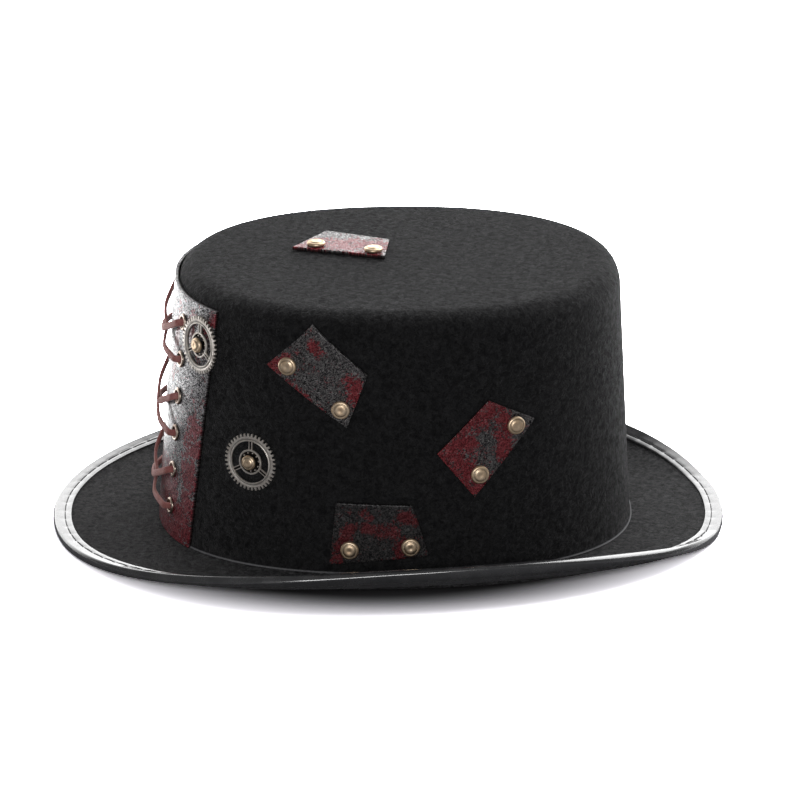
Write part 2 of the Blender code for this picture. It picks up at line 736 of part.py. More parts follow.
def build():
    """Clears the scene and makes the hat."""
    for item in list(bpy.data.objects):
        bpy.data.objects.remove(item, do_unlink=True)
    felt = make_material("black_felt", (0.012, 0.012, 0.013), 0.95)
    glossy = make_material("glossy_binding", (0.010, 0.010, 0.011), 0.25)
    panel_leather = make_material("panel_leather", (0.100, 0.080, 0.085), 0.55)
    patch_leather = make_material("patch_leather", (0.060, 0.022, 0.024), 0.60)
    brass = make_material("antique_brass", (0.380, 0.270, 0.170), 0.35, 1.0)
    gear_metal = make_material("antique_gear_metal", (0.220, 0.180, 0.150), 0.40, 1.0)
    suede = make_material("suede_lace", (0.140, 0.060, 0.060), 0.85)

    crown = make_crown(felt)
    make_brim(felt)
    make_binding(glossy)
    panel = make_panel(panel_leather)
    make_lace(suede)

    eyelet_frames = []
    for side, word in ((1, "left"), (-1, "right")):
        for row in range(EYELET_ROWS):
            frame = wall_frame(side * EYELET_FROM_CENTRE, eyelet_climb(row))
            make_eyelet(f"eyelet_{word}_{row + 1}", frame, brass)
            eyelet_frames.append(frame)

    shank_frames = []
    for name, spec in GEARS.items():
        seat = (PANEL_FRONT if spec["on_panel"] else 0.0) + GAP
        frame = wall_frame(spec["round"] * half_girth(), spec["up"] * SIDE_HEIGHT)
        make_gear(name, frame, seat, gear_metal)
        over_gear = seat + GEAR_THICKNESS + GAP
        make_rivet(name + "_rivet", frame, GEAR_RIVET_HEAD_RADIUS, over_gear, brass)
        shank_frames.append(frame)

    patches = []
    over_patch = GAP + LEATHER + GAP
    for name, spec in WALL_PATCHES.items():
        patches.append(make_wall_patch(name, spec, patch_leather))
        middle = np.array([spec["round"] * half_girth(), spec["up"] * SIDE_HEIGHT])
        for number, place in enumerate(spec["rivets"], start=1):
            frame = wall_frame(*(middle + np.array(place) * PATCH_SIZE))
            make_rivet(f"{name}_rivet_{number}", frame, RIVET_HEAD_RADIUS, over_patch, brass)
            shank_frames.append(frame)
    patches.append(make_tip_patch(patch_leather))
    for number, place in enumerate(TIP_PATCH["rivets"], start=1):
        frame = Matrix.Translation(Vector(on_tip(place)))
        make_rivet(f"patch_tip_rivet_{number}", frame, RIVET_HEAD_RADIUS, over_patch, brass)
        shank_frames.append(frame)

    barrel = EYELET_BORE_RADIUS + EYELET_WALL
    eyelet_holes = hole_cutter("eyelet_holes", eyelet_frames, barrel + GAP)
    shank_holes = hole_cutter("shank_holes", shank_frames, RIVET_SHANK_RADIUS + GAP)
    for piece in (crown, panel):
        cut(piece, eyelet_holes)
    for piece in (crown, panel, *patches):
        cut(piece, shank_holes)


build()
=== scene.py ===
"""The looks of a steampunk top hat: felt, glossy bound edge, laced leather, brass fittings.

Lengths are metres. The hat's front faces -Y, the wearer's left is +X, and +Z is up.
"""
import math

import bpy
import numpy as np
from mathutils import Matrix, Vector


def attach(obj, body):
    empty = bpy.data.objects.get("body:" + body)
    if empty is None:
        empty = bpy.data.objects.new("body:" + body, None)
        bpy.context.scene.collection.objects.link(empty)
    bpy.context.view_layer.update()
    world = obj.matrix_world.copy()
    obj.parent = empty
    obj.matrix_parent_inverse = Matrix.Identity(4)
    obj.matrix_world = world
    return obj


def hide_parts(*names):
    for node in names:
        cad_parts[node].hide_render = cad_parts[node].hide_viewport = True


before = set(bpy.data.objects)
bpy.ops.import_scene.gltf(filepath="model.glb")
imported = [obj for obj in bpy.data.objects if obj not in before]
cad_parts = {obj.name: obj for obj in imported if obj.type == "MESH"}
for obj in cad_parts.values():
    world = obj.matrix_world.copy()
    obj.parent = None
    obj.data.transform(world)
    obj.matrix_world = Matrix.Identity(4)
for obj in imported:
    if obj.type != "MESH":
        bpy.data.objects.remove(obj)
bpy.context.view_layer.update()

# The studio
# A pale seamless table lit softly from above and from behind, as for a catalogue picture, and a long
# lens that looks down a little on the wearer's left side.
CAMERA_AZIMUTH, CAMERA_ELEVATION = math.radians(88.0), math.radians(19.8)
CAMERA_DISTANCE = 2.400
CAMERA_LENS = 246.3
AIM_ACROSS, AIM_UP = 0.0058, 0.0530
TABLE_HALF = 5.0
TABLE_GLOW = 3.6
# The painted shadow on the table: its middle and reach, where it starts and ends, and its darkest and lightest
# levels.
SHADE_MIDDLE, SHADE_REACH = (0.0, -0.005, 0.0), (0.119, 0.140, 1.0)
SHADE_STARTS, SHADE_ENDS = 0.79, 1.16
SHADE_LEVELS = (0.08, 6.0)

back = np.array([
    math.sin(CAMERA_AZIMUTH) * math.cos(CAMERA_ELEVATION),
    -math.cos(CAMERA_AZIMUTH) * math.cos(CAMERA_ELEVATION),
    math.sin(CAMERA_ELEVATION),
])
aim = np.array([math.cos(CAMERA_AZIMUTH), math.sin(CAMERA_AZIMUTH), 0]) * AIM_ACROSS + [0, 0, AIM_UP]
camera = bpy.data.objects.new("camera", bpy.data.cameras.new("camera"))
camera.data.lens = CAMERA_LENS
camera.data.sensor_width = 36
camera.data.clip_end = 50
camera.location = aim + back * CAMERA_DISTANCE
camera.rotation_euler = Vector(-back).to_track_quat("-Z", "Y").to_euler()
bpy.context.scene.collection.objects.link(camera)
bpy.context.scene.camera = camera
bpy.context.scene.view_settings.view_transform = "Standard"


def new_material(name):
    """A material with its Principled shader, its node adder and its linker."""
    material = bpy.data.materials.new(name)
    material.use_nodes = True
    tree = material.node_tree
    return material, tree.nodes["Principled BSDF"], tree.nodes.new, tree.links.new


def surface(name, points, faces, material, replaces=(), crease=None, marks=None):
    """A smooth-shaded piece of these points and faces that rides with the hat. Edges sharper than the
    crease angle stay sharp, and marks are named values stored at its points for the material."""
    mesh = bpy.data.meshes.new(name)
    faces = faces.tolist() if isinstance(faces, np.ndarray) else faces
    mesh.from_pydata(np.asarray(points).reshape(-1, 3).tolist(), [], faces)
    mesh.materials.append(material)
    mesh.shade_smooth()
    if crease is not None:
        mesh.set_sharp_from_angle(angle=math.radians(crease))
    for label, values in (marks or {}).items():
        values = np.asarray(values, float)
        kind, field = ("FLOAT_VECTOR", "vector") if values.shape[-1] == 3 else ("FLOAT", "value")
        mark = mesh.attributes.new(label, kind, "POINT")
        mark.data.foreach_set(field, values.ravel())
    piece = bpy.data.objects.new(name, mesh)
    bpy.context.scene.collection.objects.link(piece)
    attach(piece, "root")
    if len(replaces):
        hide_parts(*replaces)
    return piece


def area_lamp(name, place, toward, wide, high, watts, tint=(1, 1, 1)):
    """A rectangular softbox at a place, turned toward a point."""
    lamp = bpy.data.lights.new(name, "AREA")
    lamp.shape = "RECTANGLE"
    lamp.size, lamp.size_y = wide, high
    lamp.energy = watts
    lamp.color = tint
    holder = bpy.data.objects.new(name, lamp)
    holder.location = place
    holder.rotation_euler = (Vector(toward) - Vector(place)).to_track_quat("-Z", "Y").to_euler()
    bpy.context.scene.collection.objects.link(holder)


area_lamp("softbox_above", (-0.50, 0.66, 0.85), (0, 0, 0.08), 0.9, 0.9, 9.5)
area_lamp("softbox_near", (1.75, -0.10, 0.72), (0, 0, 0.06), 0.9, 0.6, 11)

# The walls of the studio: white behind the hat and grey on the camera's side.
world = bpy.data.worlds.new("studio")
bpy.context.scene.world = world
world.use_nodes = True
sky = world.node_tree
sky_add, sky_link = sky.nodes.new, sky.links.new
walls = sky.nodes["Background"]
direction = sky_add("ShaderNodeTexCoord")
parts = sky_add("ShaderNodeSeparateXYZ")
sky_link(direction.outputs["Generated"], parts.inputs["Vector"])
from_behind = sky_add("ShaderNodeMapRange")
from_behind.interpolation_type = "SMOOTHSTEP"
for socket, value in (("From Min", -0.30), ("From Max", -0.90), ("To Min", 0.12), ("To Max", 2.4)):
    from_behind.inputs[socket].default_value = value
sky_link(parts.outputs["X"], from_behind.inputs["Value"])
seen = sky_add("ShaderNodeLightPath")
plain_white = sky_add("ShaderNodeMix")
plain_white.inputs["B"].default_value = 1.0
sky_link(seen.outputs["Is Camera Ray"], plain_white.inputs["Factor"])
sky_link(from_behind.outputs["Result"], plain_white.inputs["A"])
sky_link(plain_white.outputs["Result"], walls.inputs["Strength"])
walls.inputs["Color"].default_value = (1, 1, 1, 1)

table_finish, table_shader, add, link = new_material("pale_table")
table_shader.inputs["Roughness"].default_value = 0.9
table_shader.inputs["Specular IOR Level"].default_value = 0.0
table_place = add("ShaderNodeTexCoord").outputs["Object"]


def table_range(value, low, high, to_low, to_high):
    """A value of the table's shader carried smoothly from one range to another."""
    node = add("ShaderNodeMapRange")
    node.interpolation_type = "SMOOTHSTEP"
    for socket, number in (("From Min", low), ("From Max", high), ("To Min", to_low), ("To Max", to_high)):
        node.inputs[socket].default_value = number
    link(value, node.inputs["Value"])
    return node.outputs["Result"]


# Seen by the camera the table is almost white, with a painted shadow in a soft oval under the near brim: there its
# colour is darkened, for camera rays only.
from_shade = add("ShaderNodeVectorMath")
from_shade.operation = "SUBTRACT"
from_shade.inputs[1].default_value = SHADE_MIDDLE
link(table_place, from_shade.inputs[0])
oval = add("ShaderNodeVectorMath")
oval.operation = "DIVIDE"
oval.inputs[1].default_value = SHADE_REACH
link(from_shade.outputs["Vector"], oval.inputs[0])
oval_radius = add("ShaderNodeVectorMath")
oval_radius.operation = "LENGTH"
link(oval.outputs["Vector"], oval_radius.inputs[0])
shade = add("ShaderNodeVectorMath")
shade.operation = "SCALE"
shade.inputs[0].default_value = (1.00, 0.98, 1.03)
link(table_range(oval_radius.outputs["Value"], SHADE_STARTS, SHADE_ENDS, *SHADE_LEVELS), shade.inputs["Scale"])
seen = add("ShaderNodeLightPath")
brightness = add("ShaderNodeMix")
brightness.data_type = "RGBA"
brightness.inputs["A"].default_value = (0.22, 0.22, 0.23, 1)
link(shade.outputs["Vector"], brightness.inputs["B"])
link(seen.outputs["Is Camera Ray"], brightness.inputs["Factor"])
link(brightness.outputs["Result"], table_shader.inputs["Base Color"])

# Behind the hat the table glows, as the lit floor of a light tent does.
table_parts = add("ShaderNodeSeparateXYZ")
link(table_place, table_parts.inputs["Vector"])
table_shader.inputs["Emission Color"].default_value = (1, 1, 1, 1)
link(table_range(table_parts.outputs["X"], -0.06, -0.14, 0.0, TABLE_GLOW), table_shader.inputs["Emission Strength"])
table_corners = [(-1, -1, 0), (1, -1, 0), (1, 1, 0), (-1, 1, 0)]
table_mesh = bpy.data.meshes.new("table")
table_mesh.from_pydata((np.array(table_corners) * TABLE_HALF).tolist(), [], [(0, 1, 2, 3)])
table_mesh.materials.append(table_finish)
table = bpy.data.objects.new("table", table_mesh)
bpy.context.scene.collection.objects.link(table)

# The crown
# One hood of black wool felt, steamed over a block: a side wall that leans in a little, a rounded
# shoulder and a flat tip. It is hollow, with nothing inside.
FELT_THICKNESS = 0.0020
CLEARANCE = 0.0003
FOOT_LENGTH, FOOT_WIDTH = 0.2050, 0.1680
TIP_LENGTH, TIP_WIDTH = 0.1898, 0.1605
TIP_LEANS_BACK = 0.0016
CROWN_TOP = 0.1195
SHOULDER_RADIUS = 0.0105
OVAL_SQUARENESS = 2.25
BINDING_THICKNESS = 0.0007
BRIM_FRONT, BRIM_BACK, BRIM_SIDE = 0.0480, 0.0410, 0.0320
BRIM_ROOT_Z = BINDING_THICKNESS + CLEARANCE + FELT_THICKNESS / 2
FOOT_Z = BRIM_ROOT_Z + FELT_THICKNESS / 2 + CLEARANCE
CENTRE_Y = (BRIM_FRONT - BRIM_BACK) / 2
SHOULDER_Z = CROWN_TOP - SHOULDER_RADIUS
SIDE_HEIGHT = SHOULDER_Z - FOOT_Z
FLAT_ENDS_SHARE = 0.06
ROOT_RISES_AT_SIDES = 0.0020
CROWN_ROUND = 288
# The foot's cut edge, from inside to outside: (flare, rise, share of its painted highlight).
FOOT_LIP = [
    (0.0, -0.00012, 0), (0.0004, -0.00012, 1), (0.0008, 0.0, 1), (0.0008, 0.0002, 1), (0.0005, 0.0004, 1),
    (0.0002, 0.0007, 0), (0.0, 0.0012, 0),
]
UPWARD = np.array([0.0, 0.0, 1.0])


def unit(vectors):
    return vectors / np.linalg.norm(vectors, axis=-1, keepdims=True)


def wall_line(bearing, z):
    """Points of the crown's outer wall. At a height z the wall is an oval, whose sine and cosine are
    raised to 2 / squareness; its half length and width shrink evenly from foot to tip."""
    bearing, z = np.broadcast_arrays(np.asarray(bearing, float), np.asarray(z, float))
    share = (z - FOOT_Z) / (CROWN_TOP - FOOT_Z)
    power = 2 / OVAL_SQUARENESS
    sine, cosine = np.sin(bearing), np.cos(bearing)
    x = (FOOT_WIDTH + (TIP_WIDTH - FOOT_WIDTH) * share) / 2 * np.sign(sine) * np.abs(sine) ** power
    y = -(FOOT_LENGTH + (TIP_LENGTH - FOOT_LENGTH) * share) / 2 * np.sign(cosine) * np.abs(cosine) ** power
    return np.stack([x, y + CENTRE_Y + TIP_LEANS_BACK * share, z], axis=-1)


def wall_axes(bearing, z):
    """The wall's directions round it, up it and out of it, from small steps either way."""
    step = 1e-4
    bearing, z = np.broadcast_arrays(np.asarray(bearing, float), np.asarray(z, float))
    around = unit(wall_line(bearing + step, z) - wall_line(bearing - step, z))
    up = unit(wall_line(bearing, z + step) - wall_line(bearing, z - step))
    out = unit(np.cross(around, up))
    return around, np.cross(out, around), out


def level(vectors):
    """The vectors' directions seen from above."""
    return unit(vectors * [1, 1, 0])


def sideness(bearing):
    """Nothing on the flat ends of the hat, rising to 1 at its sides, as the sine squared does."""
    return np.clip((np.sin(bearing) ** 2 - FLAT_ENDS_SHARE) / (1 - FLAT_ENDS_SHARE), 0, 1)


def ring_faces(rows, columns, closed_rows=False):
    """Quads between rings of points, each ring closed on itself, and the last joined to the first where
    the rings make a hoop."""
    row = np.arange(rows if closed_rows else rows - 1)[:, None]
    column = np.arange(columns)[None, :]
    below, above = row * columns, (row + 1) % rows * columns
    following = (column + 1) % columns
    return np.stack([below + column, below + following, above + following, above + column], -1).reshape(-1, 4)


def pole_faces(ring_start, columns, pole, flipped):
    """A fan of triangles from a ring to its pole."""
    column = np.arange(columns)
    fan = np.stack([ring_start + column, ring_start + (column + 1) % columns, pole + 0 * column], -1)
    return fan[:, ::-1] if flipped else fan


def crown_face(depth):
    """Rings of the crown's face at a depth inside the felt, from the foot up the wall, round the
    shoulder's quarter circle and in over the tip towards its centre."""
    bearing = np.arange(CROWN_ROUND)[None, :] * 2 * np.pi / CROWN_ROUND
    heights = np.linspace(0, 1, 26)[:, None] ** 1.15 * SIDE_HEIGHT + FOOT_Z
    wall = wall_line(bearing, heights) - wall_axes(bearing, heights)[2] * depth
    wall[:, :, 2] += ROOT_RISES_AT_SIDES * sideness(bearing) * (1 - (heights - FOOT_Z) / SIDE_HEIGHT) ** 4
    out = level(wall_axes(bearing, SHOULDER_Z)[2])
    middle = wall_line(bearing, SHOULDER_Z) - out * SHOULDER_RADIUS
    turn = np.linspace(0, np.pi / 2, 13)[1:, None, None]
    shoulder = middle + (out * np.cos(turn) + UPWARD * np.sin(turn)) * (SHOULDER_RADIUS - depth)
    centre = np.array([0, CENTRE_Y + TIP_LEANS_BACK, CROWN_TOP - depth])
    inward = np.linspace(1, 0, 15)[1:-1, None, None]
    tip = centre + (shoulder[-1] - centre) * inward
    return np.concatenate([wall, shoulder, tip]), centre


outer_rings, outer_centre = crown_face(0)
inner_rings, inner_centre = crown_face(FELT_THICKNESS)
foot_bearings = np.arange(CROWN_ROUND) * 2 * np.pi / CROWN_ROUND
foot_out = level(wall_axes(foot_bearings, FOOT_Z)[2])
lip = np.stack([outer_rings[0] + foot_out * flare + UPWARD * rise for flare, rise, _ in FOOT_LIP])
crown_rings = np.concatenate([inner_rings[::-1], lip, outer_rings[1:]])
# Painted highlight: the foot's lip is painted lighter where this mark is 1, standing in for the light that catches
# the crease at the crown's foot.
painted_foot_highlight = np.concatenate([
    np.zeros(len(inner_rings) * CROWN_ROUND), np.repeat([painted_highlight for _, _, painted_highlight in FOOT_LIP], CROWN_ROUND),
    np.zeros((len(outer_rings) - 1) * CROWN_ROUND + 2),
])
crown_count = len(crown_rings) * CROWN_ROUND
crown_points = np.concatenate([crown_rings.reshape(-1, 3), [inner_centre, outer_centre]])
crown_faces = ring_faces(len(crown_rings), CROWN_ROUND).tolist()
crown_faces += pole_faces(0, CROWN_ROUND, crown_count, True).tolist()
crown_faces += pole_faces(crown_count - CROWN_ROUND, CROWN_ROUND, crown_count + 1, False).tolist()


def shared_group(name, inputs, outputs):
    """An empty shader group with named value inputs and outputs (name, kind)."""
    group = bpy.data.node_groups.new(name, "ShaderNodeTree")
    for label, kind, value in inputs:
        socket = group.interface.new_socket(label, in_out="INPUT", socket_type=kind)
        if value is not None:
            socket.default_value = value
    for label, kind in outputs:
        group.interface.new_socket(label, in_out="OUTPUT", socket_type=kind)
    return group, group.nodes.new("NodeGroupInput"), group.nodes.new("NodeGroupOutput")


def noise_of(add, link, place, scale, detail, rough, distortion=0.0):
    """A noise texture at a place, with its scale in waves per metre."""
    noise = add("ShaderNodeTexNoise")
    noise.inputs["Detail"].default_value = detail
    noise.inputs["Roughness"].default_value = rough
    noise.inputs["Distortion"].default_value = distortion
    if isinstance(scale, (int, float)):
        noise.inputs["Scale"].default_value = scale
    else:
        link(scale, noise.inputs["Scale"])
    link(place, noise.inputs["Vector"])
    return noise.outputs["Fac"]


def remap(add, link, value, low, high, to_low=0.0, to_high=1.0):
    """The value carried from one range to another, held at its ends."""
    node = add("ShaderNodeMapRange")
    for socket, number in (("From Min", low), ("From Max", high), ("To Min", to_low), ("To Max", to_high)):
        node.inputs[socket].default_value = number
    link(value, node.inputs["Value"])
    return node.outputs["Result"]


def math_of(add, link, kind, *numbers):
    """One sum on values, which are numbers or sockets."""
    node = add("ShaderNodeMath")
    node.operation = kind
    for index, value in enumerate(numbers):
        if isinstance(value, (int, float)):
            node.inputs[index].default_value = value
        else:
            link(value, node.inputs[index])
    return node.outputs["Value"]


def blend_of(add, link, amount, first, second, kind="MIX"):
    """Two colours blended by an amount."""
    node = add("ShaderNodeMix")
    node.data_type = "RGBA"
    node.blend_type = kind
    for socket, value in (("Factor", amount), ("A", first), ("B", second)):
        if isinstance(value, (int, float)):
            node.inputs[socket].default_value = value
        elif isinstance(value, tuple):
            node.inputs[socket].default_value = (*value, 1.0)
        else:
            link(value, node.inputs[socket])
    return node.outputs["Result"]


def vector_of(add, link, kind, first, second):
    """One sum on two vectors, or a vector and a number; it gives a vector or, for a product or a
    distance, a number."""
    node = add("ShaderNodeVectorMath")
    node.operation = kind
    sockets = (node.inputs[0], node.inputs["Scale"] if kind == "SCALE" else node.inputs[1])
    for socket, value in zip(sockets, (first, second)):
        if isinstance(value, bpy.types.NodeSocket):
            link(value, socket)
        else:
            socket.default_value = value
    return node.outputs["Value" if kind in ("DOT_PRODUCT", "DISTANCE") else "Vector"]


# Pressed fibres, for felt and suede: a curled mat of hairs, small clumps of it, and a wide mottle.
fibres, fibres_in, fibres_out = shared_group(
    "pressed_fibres",
    [("Place", "NodeSocketVector", None), ("Hairs per metre", "NodeSocketFloat", 900.0)],
    [("Height", "NodeSocketFloat"), ("Mottle", "NodeSocketFloat"), ("Hairs", "NodeSocketFloat"),
     ("Clumps", "NodeSocketFloat")],
)
add, link = fibres.nodes.new, fibres.links.new
here, hairiness = fibres_in.outputs["Place"], fibres_in.outputs["Hairs per metre"]
curl = noise_of(add, link, here, hairiness, 3.0, 0.65, 1.6)
clump = noise_of(add, link, here, math_of(add, link, "MULTIPLY", hairiness, 0.42), 4.0, 0.7, 0.8)
ridges = math_of(add, link, "ABSOLUTE", math_of(add, link, "SUBTRACT", curl, 0.5), 0.0)
hairs = remap(add, link, ridges, 0.14, 0.0)
link(hairs, fibres_out.inputs["Hairs"])
link(remap(add, link, clump, 0.36, 0.66), fibres_out.inputs["Clumps"])
link(math_of(add, link, "MULTIPLY_ADD", clump, 1.6, curl), fibres_out.inputs["Height"])
wide = noise_of(add, link, here, 60.0, 4.0, 0.6)
link(remap(add, link, wide, 0.3, 0.7), fibres_out.inputs["Mottle"])


def felt_finish(name, dark, light, hairs_per_metre, lift):
    """Matt felt: dark between the hairs and lighter on them and on its clumps, with a sheen of raised
    fibres. Where its highlight mark is 1 it carries a painted highlight, painted a lighter grey."""
    material, shader, add, link = new_material(name)
    place = add("ShaderNodeTexCoord").outputs["Object"]
    nap = add("ShaderNodeGroup")
    nap.node_tree = fibres
    nap.inputs["Hairs per metre"].default_value = hairs_per_metre
    link(place, nap.inputs["Place"])
    tone = blend_of(add, link, nap.outputs["Hairs"], dark, light)
    tone = blend_of(add, link, remap(add, link, nap.outputs["Mottle"], 0.0, 1.0, 0.0, 0.25), tone, light)
    tone = blend_of(add, link, remap(add, link, nap.outputs["Clumps"], 0.0, 1.0, 0.80, 0.0), tone, dark)
    # Painted highlight: where the highlight mark is 1 the felt is blended towards a lighter grey.
    painted_highlight = add("ShaderNodeAttribute")
    painted_highlight.attribute_name = "painted_highlight"
    rubbed = math_of(add, link, "MULTIPLY", painted_highlight.outputs["Fac"], 0.8)
    link(blend_of(add, link, rubbed, tone, (0.26, 0.26, 0.27)), shader.inputs["Base Color"])
    link(remap(add, link, nap.outputs["Hairs"], 0.0, 1.0, 0.95, 0.80), shader.inputs["Roughness"])
    shader.inputs["Specular IOR Level"].default_value = 0.12
    link(remap(add, link, nap.outputs["Clumps"], 0.0, 1.0, 0.03, 0.19), shader.inputs["Sheen Weight"])
    shader.inputs["Sheen Roughness"].default_value = 0.40
    shader.inputs["Sheen Tint"].default_value = (0.90, 0.90, 0.92, 1)
    bump = add("ShaderNodeBump")
    bump.inputs["Strength"].default_value = 1.0
    bump.inputs["Distance"].default_value = lift
    link(nap.outputs["Height"], bump.inputs["Height"])
    link(bump.outputs["Normal"], shader.inputs["Normal"])
    return material


black_felt = felt_finish("black_felt", (0.004, 0.004, 0.0045), (0.030, 0.030, 0.031), 900.0, 0.0006)
surface(
    "crown_felt", crown_points, crown_faces, black_felt, ["crown"], marks={"painted_highlight": painted_foot_highlight})

# The brim
# A ring of the same felt, flat in front and behind and rolled up at the sides, most towards the back.
# Its root lies under the crown's wall and its cut edge is hidden in the binding's fold.
ROLL_ANGLE = math.radians(80)
ROLL_MORE_BEHIND = 0.6
ROLL_POWER = 2.0
BINDING_LEAF = 0.0080
BRIM_ROUND = 320


def brim_width(bearing):
    """Width of the brim along its surface: the front's or back's width blended into the side's."""
    along = np.cos(bearing)
    return np.where(along > 0, BRIM_FRONT, BRIM_BACK) * along ** 2 + BRIM_SIDE * (1 - along ** 2)


def brim_surface(bearing, slant, lift):
    """Points of the brim at a way out along its middle surface and a lift above it. The slope grows as
    a power of the way out, so the run and the rise are the means of its cosine and sine."""
    bearing, slant, lift = np.broadcast_arrays(bearing, slant, lift)
    edge_slope = ROLL_ANGLE * sideness(bearing) * (1 - ROLL_MORE_BEHIND * np.cos(bearing))
    share = np.clip(slant / brim_width(bearing), 0, None)[..., None]
    steps = (np.arange(64) + 0.5) / 64
    slopes = edge_slope[..., None] * (share * steps) ** ROLL_POWER
    run = slant * np.cos(slopes).mean(axis=-1)
    rise = slant * np.sin(slopes).mean(axis=-1)
    slope = edge_slope * share[..., 0] ** ROLL_POWER
    away = level(wall_axes(bearing, FOOT_Z)[2])
    point = wall_line(bearing, FOOT_Z) + away * run[..., None]
    point[..., 2] = BRIM_ROOT_Z + ROOT_RISES_AT_SIDES * sideness(bearing) + rise
    tilt = UPWARD * np.cos(slope)[..., None] - away * np.sin(slope)[..., None]
    return point + tilt * lift[..., None]


brim_bearing = np.arange(BRIM_ROUND)[None, :] * 2 * np.pi / BRIM_ROUND
brim_edge = brim_width(brim_bearing) - BINDING_THICKNESS - CLEARANCE
way_out = np.linspace(0, 1, 26)[:, None]
slants = np.concatenate([np.full((1, BRIM_ROUND), -FELT_THICKNESS), brim_edge * way_out])
brim_rings = np.concatenate([
    brim_surface(brim_bearing, slants, FELT_THICKNESS / 2),
    brim_surface(brim_bearing, slants, -FELT_THICKNESS / 2)[::-1],
])
# Painted light: the brim is the crown's felt painted lighter, standing in for the light that falls on it; it is the
# same felt.
felt_painted_lighter = felt_finish("felt_painted_lighter", (0.009, 0.009, 0.0095), (0.062, 0.062, 0.063), 900.0, 0.0006)
surface(
    "brim_felt", brim_rings, ring_faces(len(brim_rings), BRIM_ROUND, closed_rows=True)[:, ::-1], felt_painted_lighter,
    ["brim"],
)

# The binding
# A strip of glossy black coated cloth folded over the brim's edge. One line of stitches through both
# leaves holds it, and draws it down a little at each needle hole.
STITCHES = 96
STITCH_FROM_INNER_EDGE = 0.0029
BINDING_ROUND = STITCHES * 8
GROOVE_HALF_WIDTH = 0.0007
GROOVE_DEPTH = 0.00028
PUCKER = 0.00015


def binding_bulge(slant, bearing):
    """How far the strip stands from its nominal face: a groove along the stitch line and a shallow
    swell between needle holes that fades away from the line."""
    from_line = slant - (brim_width(bearing) - BINDING_LEAF + STITCH_FROM_INNER_EDGE)
    groove = -GROOVE_DEPTH * np.exp(-(from_line / GROOVE_HALF_WIDTH) ** 2)
    between = np.cos(bearing * STITCHES)
    swell = -PUCKER * (0.5 + 0.5 * between) ** 3 * np.exp(-(from_line / 0.0022) ** 2)
    return groove + swell


bind_bearing = np.arange(BINDING_ROUND)[None, :] * 2 * np.pi / BINDING_ROUND
bind_width = brim_width(bind_bearing)
fold_reach = BINDING_THICKNESS + CLEARANCE
inner_lift = FELT_THICKNESS / 2 + CLEARANCE
outer_lift = inner_lift + BINDING_THICKNESS
leaf_shares = np.linspace(0, 1, 22)[:, None]
leaf_slants = bind_width - BINDING_LEAF + leaf_shares * (BINDING_LEAF - fold_reach)
soft_start = np.sqrt(np.clip(1 - (1 - np.clip(leaf_shares * 9, 0, 1)) ** 2, 0, 1))
upper_lift = inner_lift + BINDING_THICKNESS * (0.35 + 0.65 * soft_start)
upper_leaf = brim_surface(bind_bearing, leaf_slants, upper_lift + binding_bulge(leaf_slants, bind_bearing))
fold_turn = np.linspace(np.pi / 2, -np.pi / 2, 11)[1:-1, None]
fold_slants = bind_width - fold_reach + fold_reach * np.cos(fold_turn)
fold = brim_surface(bind_bearing, fold_slants, outer_lift * np.sin(fold_turn))
lower_bulge = 0.6 * np.clip(binding_bulge(leaf_slants, bind_bearing), None, 0)
lower_leaf = brim_surface(bind_bearing, leaf_slants, -upper_lift - lower_bulge)[::-1]
lower_leaf[:, :, 2] = np.maximum(lower_leaf[:, :, 2], 0.0)
inside_slants = np.concatenate([leaf_slants[:1], leaf_slants[-1:] + CLEARANCE])
inside_low = brim_surface(bind_bearing, inside_slants, -inner_lift)
inside_high = brim_surface(bind_bearing, inside_slants, inner_lift)[::-1]
binding_rings = np.concatenate([upper_leaf, fold, lower_leaf, inside_low, inside_high])

# Pebbled grain, for leather and coated cloth: rounded cells parted by fine creases.
grain, grain_in, grain_out = shared_group(
    "pebbled_grain",
    [("Place", "NodeSocketVector", None), ("Pebbles per metre", "NodeSocketFloat", 1500.0)],
    [("Height", "NodeSocketFloat"), ("Creases", "NodeSocketFloat"), ("Rub", "NodeSocketFloat")],
)
add, link = grain.nodes.new, grain.links.new
cells = add("ShaderNodeTexVoronoi")
cells.feature = "DISTANCE_TO_EDGE"
link(grain_in.outputs["Place"], cells.inputs["Vector"])
link(grain_in.outputs["Pebbles per metre"], cells.inputs["Scale"])
pebble = remap(add, link, cells.outputs["Distance"], 0.0, 0.25)
rub = noise_of(add, link, grain_in.outputs["Place"], 160.0, 5.0, 0.6)
link(pebble, grain_out.inputs["Height"])
link(remap(add, link, cells.outputs["Distance"], 0.10, 0.0), grain_out.inputs["Creases"])
link(remap(add, link, rub, 0.35, 0.65), grain_out.inputs["Rub"])

glossy_black, shader, add, link = new_material("glossy_coated_cloth")
place = add("ShaderNodeTexCoord").outputs["Object"]
pebbles = add("ShaderNodeGroup")
pebbles.node_tree = grain
pebbles.inputs["Pebbles per metre"].default_value = 1300.0
link(place, pebbles.inputs["Place"])
tone = blend_of(add, link, pebbles.outputs["Rub"], (0.028, 0.028, 0.030), (0.050, 0.050, 0.053))
link(tone, shader.inputs["Base Color"])
link(remap(add, link, pebbles.outputs["Rub"], 0.0, 1.0, 0.20, 0.32), shader.inputs["Roughness"])
shader.inputs["Specular IOR Level"].default_value = 0.5
shader.inputs["Coat Weight"].default_value = 1.0
shader.inputs["Coat IOR"].default_value = 2.0
shader.inputs["Coat Roughness"].default_value = 0.14
bump = add("ShaderNodeBump")
bump.inputs["Strength"].default_value = 0.15
bump.inputs["Distance"].default_value = 0.00008
link(pebbles.outputs["Height"], bump.inputs["Height"])
link(bump.outputs["Normal"], shader.inputs["Normal"])
surface(
    "binding_strip", binding_rings, ring_faces(len(binding_rings), BINDING_ROUND, closed_rows=True)[:, ::-1],
    glossy_black, ["brim_binding"],
)

